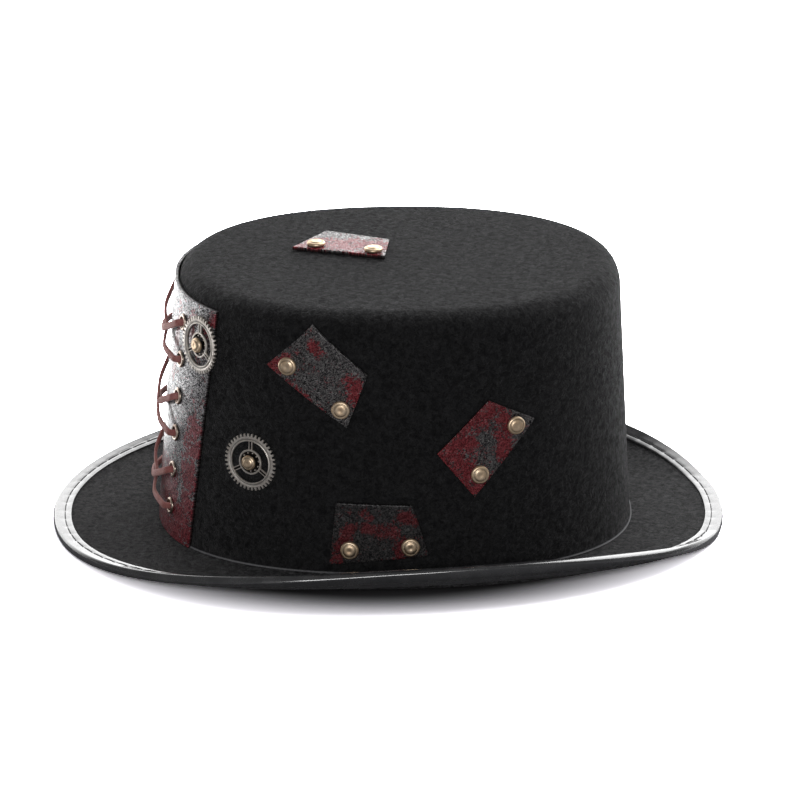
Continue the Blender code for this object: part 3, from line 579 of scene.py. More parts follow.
# The stitches
# Black sewing thread in long machine stitches, above and below. Each dives through a needle hole and
# lies a little slack between two of them.
THREAD_RADIUS = 0.00022
THREAD_SIDES = 6
THREAD_STEPS = 9


def swept(path, side, up, radius_side, radius_up, sides):
    """Rings of an oval section carried along paths: the centre plus the side times a cosine and the up
    times a sine."""
    angle = np.arange(sides) * 2 * np.pi / sides
    return (
        path[..., None, :] + side[..., None, :] * (np.cos(angle) * radius_side)[:, None]
        + up[..., None, :] * (np.sin(angle) * radius_up)[:, None]
    )


def thread_line(level_sign):
    """Points and faces of all the stitches on the upper face (sign 1) or the lower (sign -1)."""
    share = np.linspace(0, 1, THREAD_STEPS)[None, :]
    first = (np.arange(STITCHES)[:, None] + 0.06 + 0.88 * share) * 2 * np.pi / STITCHES
    slant = brim_width(first) - BINDING_LEAF + STITCH_FROM_INNER_EDGE
    lift = outer_lift - GROOVE_DEPTH + THREAD_RADIUS * (1.4 * np.sin(np.pi * share) ** 0.5 - 0.9)
    path = brim_surface(first, slant, lift * level_sign)
    along = unit(np.gradient(path, axis=1))
    up = unit(brim_surface(first, slant, lift * level_sign + 1e-3) - path)
    side = unit(np.cross(along, up))
    rings = swept(path, side, unit(np.cross(side, along)), THREAD_RADIUS, THREAD_RADIUS, THREAD_SIDES)
    points = rings.reshape(-1, 3)
    one = ring_faces(THREAD_STEPS, THREAD_SIDES)[:, ::-1]
    count = THREAD_STEPS * THREAD_SIDES
    faces = (one[None] + (np.arange(STITCHES) * count)[:, None, None]).reshape(-1, 4)
    start = np.arange(THREAD_SIDES)[None] + (np.arange(STITCHES) * count)[:, None]
    end = np.arange(THREAD_SIDES)[::-1][None] + (np.arange(STITCHES) * count + count - THREAD_SIDES)[:, None]
    return points, faces.tolist() + start.tolist() + end.tolist()


thread_finish, shader, add, link = new_material("waxed_thread")
place = add("ShaderNodeTexCoord").outputs["Object"]
twist = noise_of(add, link, place, 2600.0, 2.0, 0.5)
thread_tone = blend_of(add, link, twist, (0.010, 0.010, 0.011), (0.035, 0.034, 0.036))
link(thread_tone, shader.inputs["Base Color"])
link(remap(add, link, twist, 0.3, 0.7, 0.45, 0.7), shader.inputs["Roughness"])
bump = add("ShaderNodeBump")
bump.inputs["Distance"].default_value = 0.0001
link(twist, bump.inputs["Height"])
link(bump.outputs["Normal"], shader.inputs["Normal"])
for name, sign in (("stitches_above", 1), ("stitches_below", -1)):
    thread_points, thread_faces = thread_line(sign)
    surface(name, thread_points, thread_faces, thread_finish)

# The laced panel
# A stiff piece of distressed leather: black hide under a cracked silver-grey foil with rubbed red
# patches. It wraps the front of the crown and stands straight up past the rounded shoulder.
LEATHER_THICKNESS = 0.0016
PANEL_HALF_TOP, PANEL_HALF_FOOT = 0.0550, 0.0480
PANEL_BELOW_TIP = 0.0065
PANEL_TOP_Z = CROWN_TOP - PANEL_BELOW_TIP
PANEL_FOOT_Z = FOOT_Z + CLEARANCE
PANEL_FRONT = CLEARANCE + LEATHER_THICKNESS
PANEL_COLUMNS, PANEL_ROWS = 121, 101
EDGE_ROUNDING = 0.0004

girth_bearings = np.linspace(0, math.pi, 1441)


def bearing_of(across, z):
    """The bearing at a distance round the crown from its front, from the wall's length at height z."""
    across, z = np.broadcast_arrays(np.asarray(across, float), np.asarray(z, float))
    found = np.empty(across.shape)
    for height in np.unique(z):
        line = wall_line(girth_bearings, height)
        run = np.concatenate([[0], np.cumsum(np.linalg.norm(np.diff(line, axis=0), axis=-1))])
        chosen = z == height
        found[chosen] = np.sign(across[chosen]) * np.interp(abs(across[chosen]), run, girth_bearings)
    return found


def on_crown(across, climb, proud, stiff=False):
    """Points outside the crown and the directions round, up and out there. Past the side's height a
    soft piece follows the shoulder's circle, and a stiff one goes on straight up."""
    across, climb, proud = np.broadcast_arrays(
        np.asarray(across, float), np.asarray(climb, float), np.asarray(proud, float))
    over = 0 * climb if stiff else np.clip(climb - SIDE_HEIGHT, 0, None)
    z = np.round(FOOT_Z + climb - over, 6)
    bearing = bearing_of(across, z)
    around, up, out = wall_axes(bearing, z)
    bent = (over > 0)[..., None]
    out = np.where(bent, level(out), out)
    up = np.where(bent, UPWARD, up)
    turn = np.minimum(over / SHOULDER_RADIUS, np.pi / 2)[..., None]
    beyond = np.clip(over - SHOULDER_RADIUS * np.pi / 2, 0, None)[..., None]
    middle = wall_line(bearing, z) - out * SHOULDER_RADIUS
    turned_out = out * np.cos(turn) + up * np.sin(turn)
    turned_up = up * np.cos(turn) - out * np.sin(turn)
    return middle + turned_out * (SHOULDER_RADIUS + proud[..., None]) + turned_up * beyond, around, turned_up, turned_out


def slab(front, back, flat, material, name, replaces):
    """A leather piece between two grids of points, closed all round. Its mark "flat" is each point's
    place on the leather before it was bent, and its mark "edge" is 1 on its cut side."""
    rows, columns = front.shape[:2]
    count = rows * columns
    index = np.arange(count).reshape(rows, columns)
    quads = np.stack([index[:-1, :-1], index[:-1, 1:], index[1:, 1:], index[1:, :-1]], -1).reshape(-1, 4)
    border = np.concatenate([index[0, :], index[1:, -1], index[-1, -2::-1], index[-2:0:-1, 0]])
    following = np.roll(border, -1)
    sides = np.stack([border, following, following + count, border + count], -1)
    faces = np.concatenate([quads, quads[:, ::-1] + count, sides[:, ::-1]])
    outward = np.cross(front[0, 1] - front[0, 0], front[1, 0] - front[0, 0]) @ (front[0, 0] - back[0, 0])
    if outward < 0:
        faces = faces[:, ::-1]
    edge = np.zeros(count * 2)
    edge[border] = 0.7
    edge[count:] = 1
    flat = np.concatenate([flat, 0 * flat[..., :1]], axis=-1).reshape(-1, 3)
    points = np.concatenate([front.reshape(-1, 3), back.reshape(-1, 3)])
    return surface(
        name, points, faces, material, replaces, marks={"flat": np.tile(flat, (2, 1)), "edge": edge})


# Distressed foil on hide, worked out on the flat leather: wormy cracks between shining flakes, and the
# ragged outline of a rubbed area from the distance to its middle line.
worms, worms_in, worms_out = shared_group(
    "cracked_foil",
    [("Place", "NodeSocketVector", None), ("Flakes per metre", "NodeSocketFloat", 1000.0)],
    [("Flakes", "NodeSocketFloat"), ("Ragged", "NodeSocketFloat")],
)
add, link = worms.nodes.new, worms.links.new
here, flake_size = worms_in.outputs["Place"], worms_in.outputs["Flakes per metre"]
fine = noise_of(add, link, here, flake_size, 2.0, 0.6, 2.2)
link(remap(add, link, fine, 0.47, 0.57), worms_out.inputs["Flakes"])
broad = noise_of(add, link, here, math_of(add, link, "MULTIPLY", flake_size, 0.16), 4.0, 0.6)
speck = noise_of(add, link, here, math_of(add, link, "MULTIPLY", flake_size, 0.8), 2.0, 0.6)
ragged = math_of(add, link, "MULTIPLY_ADD", math_of(add, link, "SUBTRACT", speck, 0.5), 0.9, broad)
link(ragged, worms_out.inputs["Ragged"])


def leather_finish(name, red_lines, silver, flakes_per_metre, shine, reds):
    """Distressed leather: black hide, a cracked silver foil over it, and red where it is rubbed. Each
    red line is (x, y, x, y, reach) on the flat leather; reds are its dark and its light colour."""
    material, shader, add, link = new_material(name)
    flat = add("ShaderNodeAttribute")
    flat.attribute_name = "flat"
    place = flat.outputs["Vector"]
    foil = add("ShaderNodeGroup")
    foil.node_tree = worms
    foil.inputs["Flakes per metre"].default_value = flakes_per_metre
    link(place, foil.inputs["Place"])
    pebbles = add("ShaderNodeGroup")
    pebbles.node_tree = grain
    pebbles.inputs["Pebbles per metre"].default_value = flakes_per_metre * 1.3
    link(place, pebbles.inputs["Place"])
    near = 0.0
    for start_x, start_y, end_x, end_y, reach in red_lines:
        start, end = Vector((start_x, start_y, 0)), Vector((end_x, end_y, 0))
        length = max((end - start).length, 1e-5)
        from_start = vector_of(add, link, "SUBTRACT", place, start)
        along = vector_of(add, link, "DOT_PRODUCT", from_start, (end - start) / length)
        along = remap(add, link, along, 0.0, length, 0.0, length)
        closest = vector_of(add, link, "SCALE", (end - start) / length, along)
        away = vector_of(add, link, "DISTANCE", from_start, closest)
        near = math_of(add, link, "MAXIMUM", near, remap(add, link, away, reach * 1.5, reach * 0.4))
    rough_edge = math_of(add, link, "MULTIPLY", math_of(add, link, "SUBTRACT", foil.outputs["Ragged"], 0.5), 3.0)
    red = remap(add, link, math_of(add, link, "ADD", near, rough_edge), 0.36, 0.84)
    red_tone = blend_of(add, link, foil.outputs["Flakes"], *reds)
    foil_tone = blend_of(add, link, foil.outputs["Flakes"], (0.004, 0.004, 0.005), silver)
    rub = remap(add, link, pebbles.outputs["Rub"], 0.0, 1.0, 0.0, 0.35)
    foil_tone = blend_of(add, link, rub, foil_tone, (0.012, 0.011, 0.012))
    colour = blend_of(add, link, red, foil_tone, red_tone)
    edge = add("ShaderNodeAttribute")
    edge.attribute_name = "edge"
    link(blend_of(add, link, edge.outputs["Fac"], colour, (0.020, 0.018, 0.018)), shader.inputs["Base Color"])
    shining = math_of(add, link, "MULTIPLY", foil.outputs["Flakes"], math_of(add, link, "SUBTRACT", 1.0, red))
    link(math_of(add, link, "MULTIPLY", shining, 0.35), shader.inputs["Metallic"])
    link(remap(add, link, foil.outputs["Flakes"], 0.0, 1.0, 0.10, 0.50), shader.inputs["Specular IOR Level"])
    link(remap(add, link, foil.outputs["Flakes"], 0.0, 1.0, 0.55, 0.30), shader.inputs["Roughness"])
    link(math_of(add, link, "MULTIPLY", foil.outputs["Flakes"], shine), shader.inputs["Coat Weight"])
    shader.inputs["Coat Roughness"].default_value = 0.14
    bump = add("ShaderNodeBump")
    bump.inputs["Strength"].default_value = 0.6
    bump.inputs["Distance"].default_value = 0.00012
    relief = math_of(add, link, "MULTIPLY_ADD", foil.outputs["Flakes"], 0.8, pebbles.outputs["Height"])
    link(relief, bump.inputs["Height"])
    link(bump.outputs["Normal"], shader.inputs["Normal"])
    return material


def rounded_rim(shares, length):
    """How far a slab's face is drawn in at its cut edges: a quarter circle of the edge's rounding."""
    inside = np.minimum(shares, 1 - shares) * length
    return EDGE_ROUNDING * (1 - np.sqrt(np.clip(1 - (1 - np.clip(inside / EDGE_ROUNDING, 0, 1)) ** 2, 0, 1)))


def crowded(count):
    """Shares from 0 to 1, with extra ones close to both ends for the rounded rims."""
    near = np.array([0, 0.10, 0.30, 0.60, 1.0]) * 0.008
    return np.concatenate([near, np.linspace(0.008, 0.992, count - 10)[1:-1], 1 - near[::-1]])


panel_across = crowded(PANEL_COLUMNS)[None, :]
panel_up = crowded(PANEL_ROWS)[:, None]
panel_z = PANEL_FOOT_Z + (PANEL_TOP_Z - PANEL_FOOT_Z) * panel_up
panel_half = PANEL_HALF_FOOT + (PANEL_HALF_TOP - PANEL_HALF_FOOT) * panel_up
panel_rim = np.maximum(
    rounded_rim(panel_across, 2 * PANEL_HALF_TOP), rounded_rim(panel_up, PANEL_TOP_Z - PANEL_FOOT_Z))
panel_spread = (2 * panel_across - 1) * panel_half
panel_climb = panel_z - FOOT_Z + 0 * panel_across
PANEL_REDS = [
    (0.044, 0.004, 0.012, 0.010, 0.016), (0.044, 0.020, 0.046, 0.056, 0.0060), (0.030, 0.022, 0.010, 0.024, 0.010),
    (0.036, 0.092, 0.040, 0.104, 0.003), (0.020, 0.070, 0.024, 0.104, 0.003), (-0.040, 0.010, -0.010, 0.030, 0.012),
    (-0.045, 0.060, -0.030, 0.085, 0.007), (0.050, 0.100, 0.054, 0.106, 0.003),
]
panel_leather = leather_finish(
    "panel_leather", PANEL_REDS, (0.42, 0.40, 0.41), 900.0, 1.0, ((0.080, 0.009, 0.013), (0.36, 0.046, 0.062)))
slab(
    on_crown(panel_spread, panel_climb, PANEL_FRONT - panel_rim, stiff=True)[0],
    on_crown(panel_spread, panel_climb, CLEARANCE, stiff=True)[0],
    np.stack([panel_spread, panel_climb], axis=-1), panel_leather, "panel", ["lace_panel"],
)

# The eyelets
# Two columns of six brass eyelets. Each is a rolled tube, its flange curled down on the leather and
# flared again inside the crown.
EYELET_ROWS = 6
EYELET_FROM_CENTRE = 0.0300
EYELET_BELOW_TOP, EYELET_ABOVE_FOOT = 0.0120, 0.0135
EYELET_BORE, EYELET_WALL = 0.0021, 0.0005
EYELET_FLANGE_RADIUS, EYELET_FLANGE = 0.0037, 0.0007
CLEARANCE_INSIDE = 0.0007
EYELET_SIDES = 32


def brass_finish(name, bright, dull, metal_roughness, grime=(0.05, 0.035, 0.02)):
    """Aged metal: bright where it is rubbed, dull in cloudy patches and pin pricks, and grimy where its
    mark "hollow" is 1."""
    material, shader, add, link = new_material(name)
    place = add("ShaderNodeTexCoord").outputs["Object"]
    cloud = remap(add, link, noise_of(add, link, place, 320.0, 4.0, 0.6), 0.35, 0.68)
    pricks = remap(add, link, noise_of(add, link, place, 2600.0, 2.0, 0.5), 0.66, 0.72)
    tone = blend_of(add, link, cloud, bright, dull)
    hollow = add("ShaderNodeAttribute")
    hollow.attribute_name = "hollow"
    grimy = math_of(add, link, "MAXIMUM", math_of(add, link, "MULTIPLY", pricks, 0.6), hollow.outputs["Fac"])
    link(blend_of(add, link, grimy, tone, grime), shader.inputs["Base Color"])
    shader.inputs["Metallic"].default_value = 1.0
    link(
        remap(add, link, cloud, 0.0, 1.0, metal_roughness, metal_roughness + 0.18), shader.inputs["Roughness"])
    bump = add("ShaderNodeBump")
    bump.inputs["Strength"].default_value = 0.25
    bump.inputs["Distance"].default_value = 0.00005
    link(noise_of(add, link, place, 1500.0, 3.0, 0.6), bump.inputs["Height"])
    link(bump.outputs["Normal"], shader.inputs["Normal"])
    return material


aged_brass = brass_finish("aged_brass", (0.72, 0.60, 0.50), (0.34, 0.26, 0.20), 0.24)


def lathed(profile, sides, places):
    """Rings of points of a closed profile (radius, height) turned about each place's outward axis. A
    place is (point, around, up, out); the radius goes along around and up, the height along out."""
    angle = np.arange(sides) * 2 * np.pi / sides
    radius, height = np.array(profile).T
    point, around, up, out = (np.asarray(item).reshape(-1, 1, 1, 3) for item in places)
    rings = (
        point + around * (radius[:, None] * np.cos(angle))[None, ..., None]
        + up * (radius[:, None] * np.sin(angle))[None, ..., None]
        + out * (height[:, None] + 0 * angle)[None, ..., None]
    )
    return rings


def many_hoops(rings):
    """Points and faces of several hoops, each a closed profile turned right round."""
    pieces, rows, columns = rings.shape[:3]
    one = ring_faces(rows, columns, closed_rows=True)
    faces = (one[None] + (np.arange(pieces) * rows * columns)[:, None, None]).reshape(-1, 4)
    return rings.reshape(-1, 3), faces


def eyelet_climb(row):
    """How far up the wall an eyelet's middle is. Row 0 is the highest."""
    highest, lowest = PANEL_TOP_Z - EYELET_BELOW_TOP, PANEL_FOOT_Z + EYELET_ABOVE_FOOT
    return highest + (lowest - highest) * row / (EYELET_ROWS - 1) - FOOT_Z


flange_seat = PANEL_FRONT + CLEARANCE
inner_seat = -(FELT_THICKNESS + CLEARANCE_INSIDE)
flange_middle = (EYELET_BORE + EYELET_FLANGE_RADIUS) / 2
flange_half = (EYELET_FLANGE_RADIUS - EYELET_BORE) / 2
roll = np.linspace(0, np.pi, 11)
curl_out = [
    (flange_middle + flange_half * math.cos(turn), flange_seat + EYELET_FLANGE * math.sin(turn)) for turn in roll
]
flare_in = [
    (flange_middle - flange_half * math.cos(turn), inner_seat - EYELET_FLANGE * math.sin(turn)) for turn in roll
]
barrel = EYELET_BORE + EYELET_WALL
eyelet_profile = (
    [(EYELET_BORE, flange_seat * 0.5), (EYELET_BORE, flange_seat)] + curl_out[::-1][1:]
    + [(barrel, flange_seat), (barrel, inner_seat)] + flare_in[::-1][:-1]
    + [(EYELET_BORE, inner_seat)]
)
for side, word in ((1, "left"), (-1, "right")):
    for row in range(EYELET_ROWS):
        place = on_crown(side * EYELET_FROM_CENTRE, eyelet_climb(row), 0.0)
        ring_points, eyelet_faces = many_hoops(lathed(eyelet_profile, EYELET_SIDES, place))
        surface(
            f"eyelet_ring_{word}_{row + 1}", ring_points, eyelet_faces[:, ::-1], aged_brass,
            [f"eyelet_{word}_{row + 1}"],
        )

# The lace
# One flat suede lace, about 3 mm wide. Each pair of rows is crossed by two strands, the upper ones all
# leaning the same way, and its runs between pairs and both its ends lie inside the crown.
LACE_WIDTH, LACE_THICKNESS = 0.0030, 0.0014
LACE_UNDER_LIFT, LACE_BULGE = 0.0012, 0.0030
LACE_TAIL, LACE_TURN, LACE_TURN_REACH = 0.0080, 0.0013, 0.0030
LACE_INSIDE_CLEARANCE = 0.0009
LACE_SAG = 0.0042
LACE_BULGE_SHARE, LACE_CROSSING_SHARE = 0.24, 0.38
LACE_SIDES = 12
LACE_STEPS = 5


def lace_stations():
    """The eyelets (side, row) that the lace passes: first the under strands upward, then the over
    strands downward. Side 1 is the wearer's left."""
    right_side, left_side, side = [], [], 1
    for pair in range(0, EYELET_ROWS - 1, 2):
        left_side += [(side, pair), (-side, pair + 1)]
        right_side += [(-side, pair), (side, pair + 1)]
        side = -side
    return right_side[::-1] + left_side


def lace_controls():
    """Rows (across, climb, proud, direction across, direction up) of the lace's middle line: a strand
    leaves its eyelet, bulges, sags, crosses over or under, and goes back in."""
    half = LACE_THICKNESS / 2
    outside = flange_seat + EYELET_FLANGE
    inside = inner_seat - EYELET_FLANGE
    run_inside = inside - half - LACE_INSIDE_CLEARANCE
    under_lift = PANEL_FRONT + half + LACE_UNDER_LIFT
    over_lift = under_lift + LACE_THICKNESS + CLEARANCE
    bulge_lift = PANEL_FRONT + half + LACE_BULGE
    spots = [np.array([side * EYELET_FROM_CENTRE, eyelet_climb(row)]) for side, row in lace_stations()]
    controls = []

    def add_way(start, toward, way, length=math.inf):
        for distance, proud in way:
            sag = LACE_SAG * 4 * distance / length * (1 - distance / length)
            controls.append((*(start + np.array(toward) * distance - [0, sag]), proud, *toward))

    turn = [(LACE_TURN / 2, inside - LACE_TURN), (LACE_TURN_REACH, run_inside)]
    half_tail = (LACE_TAIL + LACE_TURN_REACH) / 2
    add_way(spots[0], (0, 1), [(-LACE_TAIL, run_inside), (-half_tail, run_inside)])
    add_way(spots[0], (0, 1), [(-distance, proud) for distance, proud in turn[::-1]])
    for index in range(0, len(spots), 2):
        start, end = spots[index], spots[index + 1]
        length = np.linalg.norm(end - start)
        toward = (end - start) / length
        middle_lift = over_lift if index >= len(spots) / 2 else under_lift
        way = [
            (0, inside), (0, outside), (LACE_TURN / 2, outside + LACE_TURN),
            (LACE_TURN_REACH, (outside + LACE_TURN + bulge_lift) / 2), (length * LACE_BULGE_SHARE, bulge_lift),
            (length * LACE_CROSSING_SHARE, (bulge_lift + middle_lift) / 2), (length / 2, middle_lift),
        ]
        add_way(start, toward, way + [(length - distance, lift) for distance, lift in way[-2::-1]], length)
        if index + 2 < len(spots):
            following = spots[index + 2]
            inward = unit(following - end)
            add_way(end, inward, turn)
            add_way((end + following) / 2, inward, [(0, run_inside)])
            add_way(following, inward, [(-distance, proud) for distance, proud in turn[::-1]])
    add_way(spots[-1], (0, -1), turn + [(half_tail, run_inside), (LACE_TAIL, run_inside)])
    return np.array(controls)


lace_table = lace_controls()
control, around, up, out = on_crown(lace_table[:, 0], lace_table[:, 1], lace_table[:, 2], stiff=True)
heading = around * lace_table[:, 3:4] + up * lace_table[:, 4:5]
width_way = unit(np.cross(out, heading))
for index in range(1, len(width_way)):
    if width_way[index] @ width_way[index - 1] < 0:
        width_way[index] = -width_way[index]
before = np.concatenate([control[:1], control[:-2]])
start, end = control[:-1], control[1:]
after = np.concatenate([control[2:], control[-1:]])
step = (np.arange(LACE_STEPS) / LACE_STEPS)[None, :, None]
before, start, end, after = (item[:, None] for item in (before, start, end, after))
lace_path = 0.5 * (
    2 * start + (end - before) * step + (2 * before - 5 * start + 4 * end - after) * step ** 2
    + (3 * start - before - 3 * end + after) * step ** 3
)
lace_across = width_way[:-1, None] * (1 - step) + width_way[1:, None] * step
lace_path = np.concatenate([lace_path.reshape(-1, 3), control[-1:]])
lace_across = np.concatenate([lace_across.reshape(-1, 3), width_way[-1:]])
lace_along = unit(np.gradient(lace_path, axis=0))
lace_across = unit(lace_across - lace_along * (lace_across * lace_along).sum(axis=1, keepdims=True))
lace_up = np.cross(lace_along, lace_across)
corner = np.arange(LACE_SIDES) * 2 * np.pi / LACE_SIDES + np.pi / LACE_SIDES
section_x = np.sign(np.cos(corner)) * np.abs(np.cos(corner)) ** 0.45 * LACE_WIDTH / 2
section_y = np.sign(np.sin(corner)) * np.abs(np.sin(corner)) ** 0.55 * LACE_THICKNESS / 2
lace_rings = (
    lace_path[:, None] + lace_across[:, None] * section_x[None, :, None] + lace_up[:, None] * section_y[None, :, None]
)
lace_faces = ring_faces(len(lace_rings), LACE_SIDES).tolist()
lace_faces += [list(range(LACE_SIDES))[::-1]]
lace_faces += [[(len(lace_rings) - 1) * LACE_SIDES + index for index in range(LACE_SIDES)]]

red_suede, shader, add, link = new_material("red_suede")
place = add("ShaderNodeTexCoord").outputs["Object"]
nap = add("ShaderNodeGroup")
nap.node_tree = fibres
nap.inputs["Hairs per metre"].default_value = 1700.0
link(place, nap.inputs["Place"])
tone = blend_of(add, link, nap.outputs["Hairs"], (0.19, 0.045, 0.042), (0.42, 0.150, 0.135))
rubbed = remap(add, link, noise_of(add, link, place, 140.0, 3.0, 0.6), 0.45, 0.75, 0.0, 0.6)
link(blend_of(add, link, rubbed, tone, (0.50, 0.24, 0.22)), shader.inputs["Base Color"])
link(remap(add, link, nap.outputs["Mottle"], 0.0, 1.0, 0.7, 0.9), shader.inputs["Roughness"])
shader.inputs["Sheen Weight"].default_value = 0.35
shader.inputs["Sheen Tint"].default_value = (1.0, 0.75, 0.70, 1)
bump = add("ShaderNodeBump")
bump.inputs["Strength"].default_value = 0.5
bump.inputs["Distance"].default_value = 0.0002
link(nap.outputs["Height"], bump.inputs["Height"])
link(bump.outputs["Normal"], shader.inputs["Normal"])
surface("lace_strip", lace_rings, lace_faces, red_suede, ["lace"])

# The gears
# Two cast charm gears of antiqued metal: a toothed rim with a raised inner line, three grooved spokes,
# and a hub ring with small beads round its rivet. They are ornament and don't turn.
GEAR_RADIUS, GEAR_ROOT, GEAR_RIM_INSIDE = 0.0125, 0.0112, 0.0091
GEAR_HUB_RADIUS, GEAR_HUB_INSIDE, GEAR_HOLE = 0.0056, 0.0047, 0.0017
GEAR_THICKNESS = 0.0012
GEAR_TEETH, GEAR_SPOKES, GEAR_BEADS = 40, 3, 11
SPOKE_HALF = 0.0009
BEAD_RADIUS, BEAD_FROM_CENTRE = 0.00042, 0.0040
HALF_GIRTH = np.linalg.norm(np.diff(wall_line(girth_bearings, FOOT_Z), axis=0), axis=-1).sum()
gear_places = {
    "gear_on_panel": (0.1566, 0.878, PANEL_FRONT),
    "gear_on_crown": (0.2634, 0.449, 0.0),
}
# Sections of the turned parts: (radius, height, how dark the hollow is), in millimetres.
RIM_SECTION = [
    (9.10, 0.00, 1), (9.10, 0.95, 0), (9.22, 1.20, 0), (9.50, 1.25, 0), (9.72, 1.12, 0.1), (9.85, 0.95, 0.5),
    (10.10, 0.93, 0.5), (10.30, 1.07, 0.1), (10.70, 1.15, 0), (11.10, 1.12, 0), (11.25, 0.95, 0), (11.25, 0.0, 1),
]
HUB_SECTION = [
    (4.70, 0.10, 1), (4.72, 0.90, 0.5), (4.86, 1.15, 0), (5.15, 1.22, 0), (5.45, 1.12, 0), (5.60, 0.85, 0.1),
    (5.60, 0.00, 1),
]
FLOOR_SECTION = [(1.70, 0.00, 1), (1.70, 0.30, 1), (4.80, 0.30, 1), (4.80, 0.00, 1)]
SPOKE_SECTION = [
    (-0.90, 0.00, 1), (-0.90, 0.90, 0), (-0.75, 1.12, 0), (-0.50, 1.12, 0), (-0.35, 0.80, 1), (0.35, 0.80, 1),
    (0.50, 1.12, 0), (0.75, 1.12, 0), (0.90, 0.90, 0), (0.90, 0.00, 1),
]


def gear_hoop(section, sides):
    """A closed section turned about the gear's axis: points, faces and darkness."""
    angle = np.arange(sides) * 2 * np.pi / sides
    radius, height, dark = np.array(section).T
    rings = np.stack([
        radius[:, None] * np.cos(angle), radius[:, None] * np.sin(angle), height[:, None] + 0 * angle,
    ], axis=-1) / 1000
    faces = ring_faces(*rings.shape[:2], closed_rows=True)[:, ::-1]
    return rings.reshape(-1, 3), faces.tolist(), np.repeat(dark, sides)


def gear_teeth():
    """Blocks round the rim, each narrower and lower at its tip: eight corners and six faces apiece."""
    pitch = 2 * np.pi / GEAR_TEETH
    middle = (np.arange(GEAR_TEETH) + 0.65) * pitch
    corners = np.array([
        (GEAR_ROOT - 0.0003, half, height) for half, height in ((-0.30, 0), (0.30, 0), (0.30, 1.0), (-0.30, 1.0))
    ] + [
        (GEAR_RADIUS, half, height) for half, height in ((-0.19, 0.15), (0.19, 0.15), (0.19, 0.85), (-0.19, 0.85))
    ])
    angle = middle[:, None] + corners[None, :, 1] * pitch
    points = np.stack([
        corners[:, 0] * np.cos(angle), corners[:, 0] * np.sin(angle),
        corners[None, :, 2] * GEAR_THICKNESS + 0 * angle,
    ], axis=-1)
    block = np.array([(0, 1, 2, 3), (4, 7, 6, 5), (0, 4, 5, 1), (1, 5, 6, 2), (2, 6, 7, 3), (3, 7, 4, 0)])[:, ::-1]
    faces = (block[None] + (np.arange(GEAR_TEETH) * 8)[:, None, None]).reshape(-1, 4)
    return points.reshape(-1, 3), faces.tolist(), np.tile([1, 1, 0, 0, 0.3, 0.3, 0, 0], GEAR_TEETH)


def gear_spokes():
    """Grooved bars from the hub to the rim, the first pointing up."""
    angle = np.pi / 2 + np.arange(GEAR_SPOKES) * 2 * np.pi / GEAR_SPOKES
    across, height, dark = np.array(SPOKE_SECTION).T
    ends = np.array([GEAR_HUB_RADIUS - 0.0004, GEAR_RIM_INSIDE + 0.0003])
    outward = np.stack([np.cos(angle), np.sin(angle), 0 * angle], -1)[:, None, None]
    sideways = np.stack([-np.sin(angle), np.cos(angle), 0 * angle], -1)[:, None, None]
    points = (
        outward * ends[None, :, None, None] + sideways * across[None, None, :, None] / 1000
        + UPWARD * height[None, None, :, None] / 1000
    )
    count = len(SPOKE_SECTION)
    one = ring_faces(2, count)[:, ::-1]
    starts = np.arange(GEAR_SPOKES)[:, None] * 2 * count
    faces = (one[None] + starts[:, :, None]).reshape(-1, 4).tolist()
    faces += (starts + np.arange(count)).tolist() + (starts + count + np.arange(count)[::-1]).tolist()
    return points.reshape(-1, 3), faces, np.tile(dark, GEAR_SPOKES * 2)


def gear_beads():
    """Small domes in the hub's hollow, eight-sided."""
    angle = np.arange(GEAR_BEADS) * 2 * np.pi / GEAR_BEADS + 0.2
    middle = np.stack([np.cos(angle), np.sin(angle), 0 * angle], -1) * BEAD_FROM_CENTRE + UPWARD * 0.0003
    turn, climb = np.arange(8) * np.pi / 4, np.array([0, 0.5, 1.0, 1.5])[:, None]
    dome = np.stack([np.cos(climb) * np.cos(turn), np.cos(climb) * np.sin(turn), 1.6 * np.sin(climb) + 0 * turn], -1)
    points = middle[:, None, None] + dome[None] * BEAD_RADIUS
    one = ring_faces(4, 8)
    starts = np.arange(GEAR_BEADS)[:, None] * 32
    faces = (one[None] + starts[:, :, None]).reshape(-1, 4).tolist()
    faces += (starts + np.arange(8)[::-1]).tolist() + (starts + 24 + np.arange(8)).tolist()
    return points.reshape(-1, 3), faces, np.tile(np.repeat([0.8, 0, 0, 0], 8), GEAR_BEADS)


gear_metal = brass_finish("antiqued_gear", (0.90, 0.85, 0.79), (0.62, 0.57, 0.52), 0.48, (0.03, 0.025, 0.022))
gear_parts = [
    gear_hoop(RIM_SECTION, 96), gear_hoop(HUB_SECTION, 48), gear_hoop(FLOOR_SECTION, 24), gear_teeth(),
    gear_spokes(), gear_beads(),
]
gear_starts = np.cumsum([0] + [len(points) for points, _, _ in gear_parts[:-1]])
gear_points = np.concatenate([points for points, _, _ in gear_parts])
gear_faces = [
    [int(start) + index for index in face]
    for (_, faces, _), start in zip(gear_parts, gear_starts) for face in faces
]
gear_dark = np.concatenate([dark for _, _, dark in gear_parts])
for name, (share_round, share_up, seat) in gear_places.items():
    point, around, up, out = on_crown(share_round * HALF_GIRTH, share_up * SIDE_HEIGHT, seat + CLEARANCE)
    placed = point + gear_points @ np.stack([around, up, out])
    surface(
        name + "_casting", placed, gear_faces, gear_metal, [name], crease=35,
        marks={"hollow": gear_dark},
    )

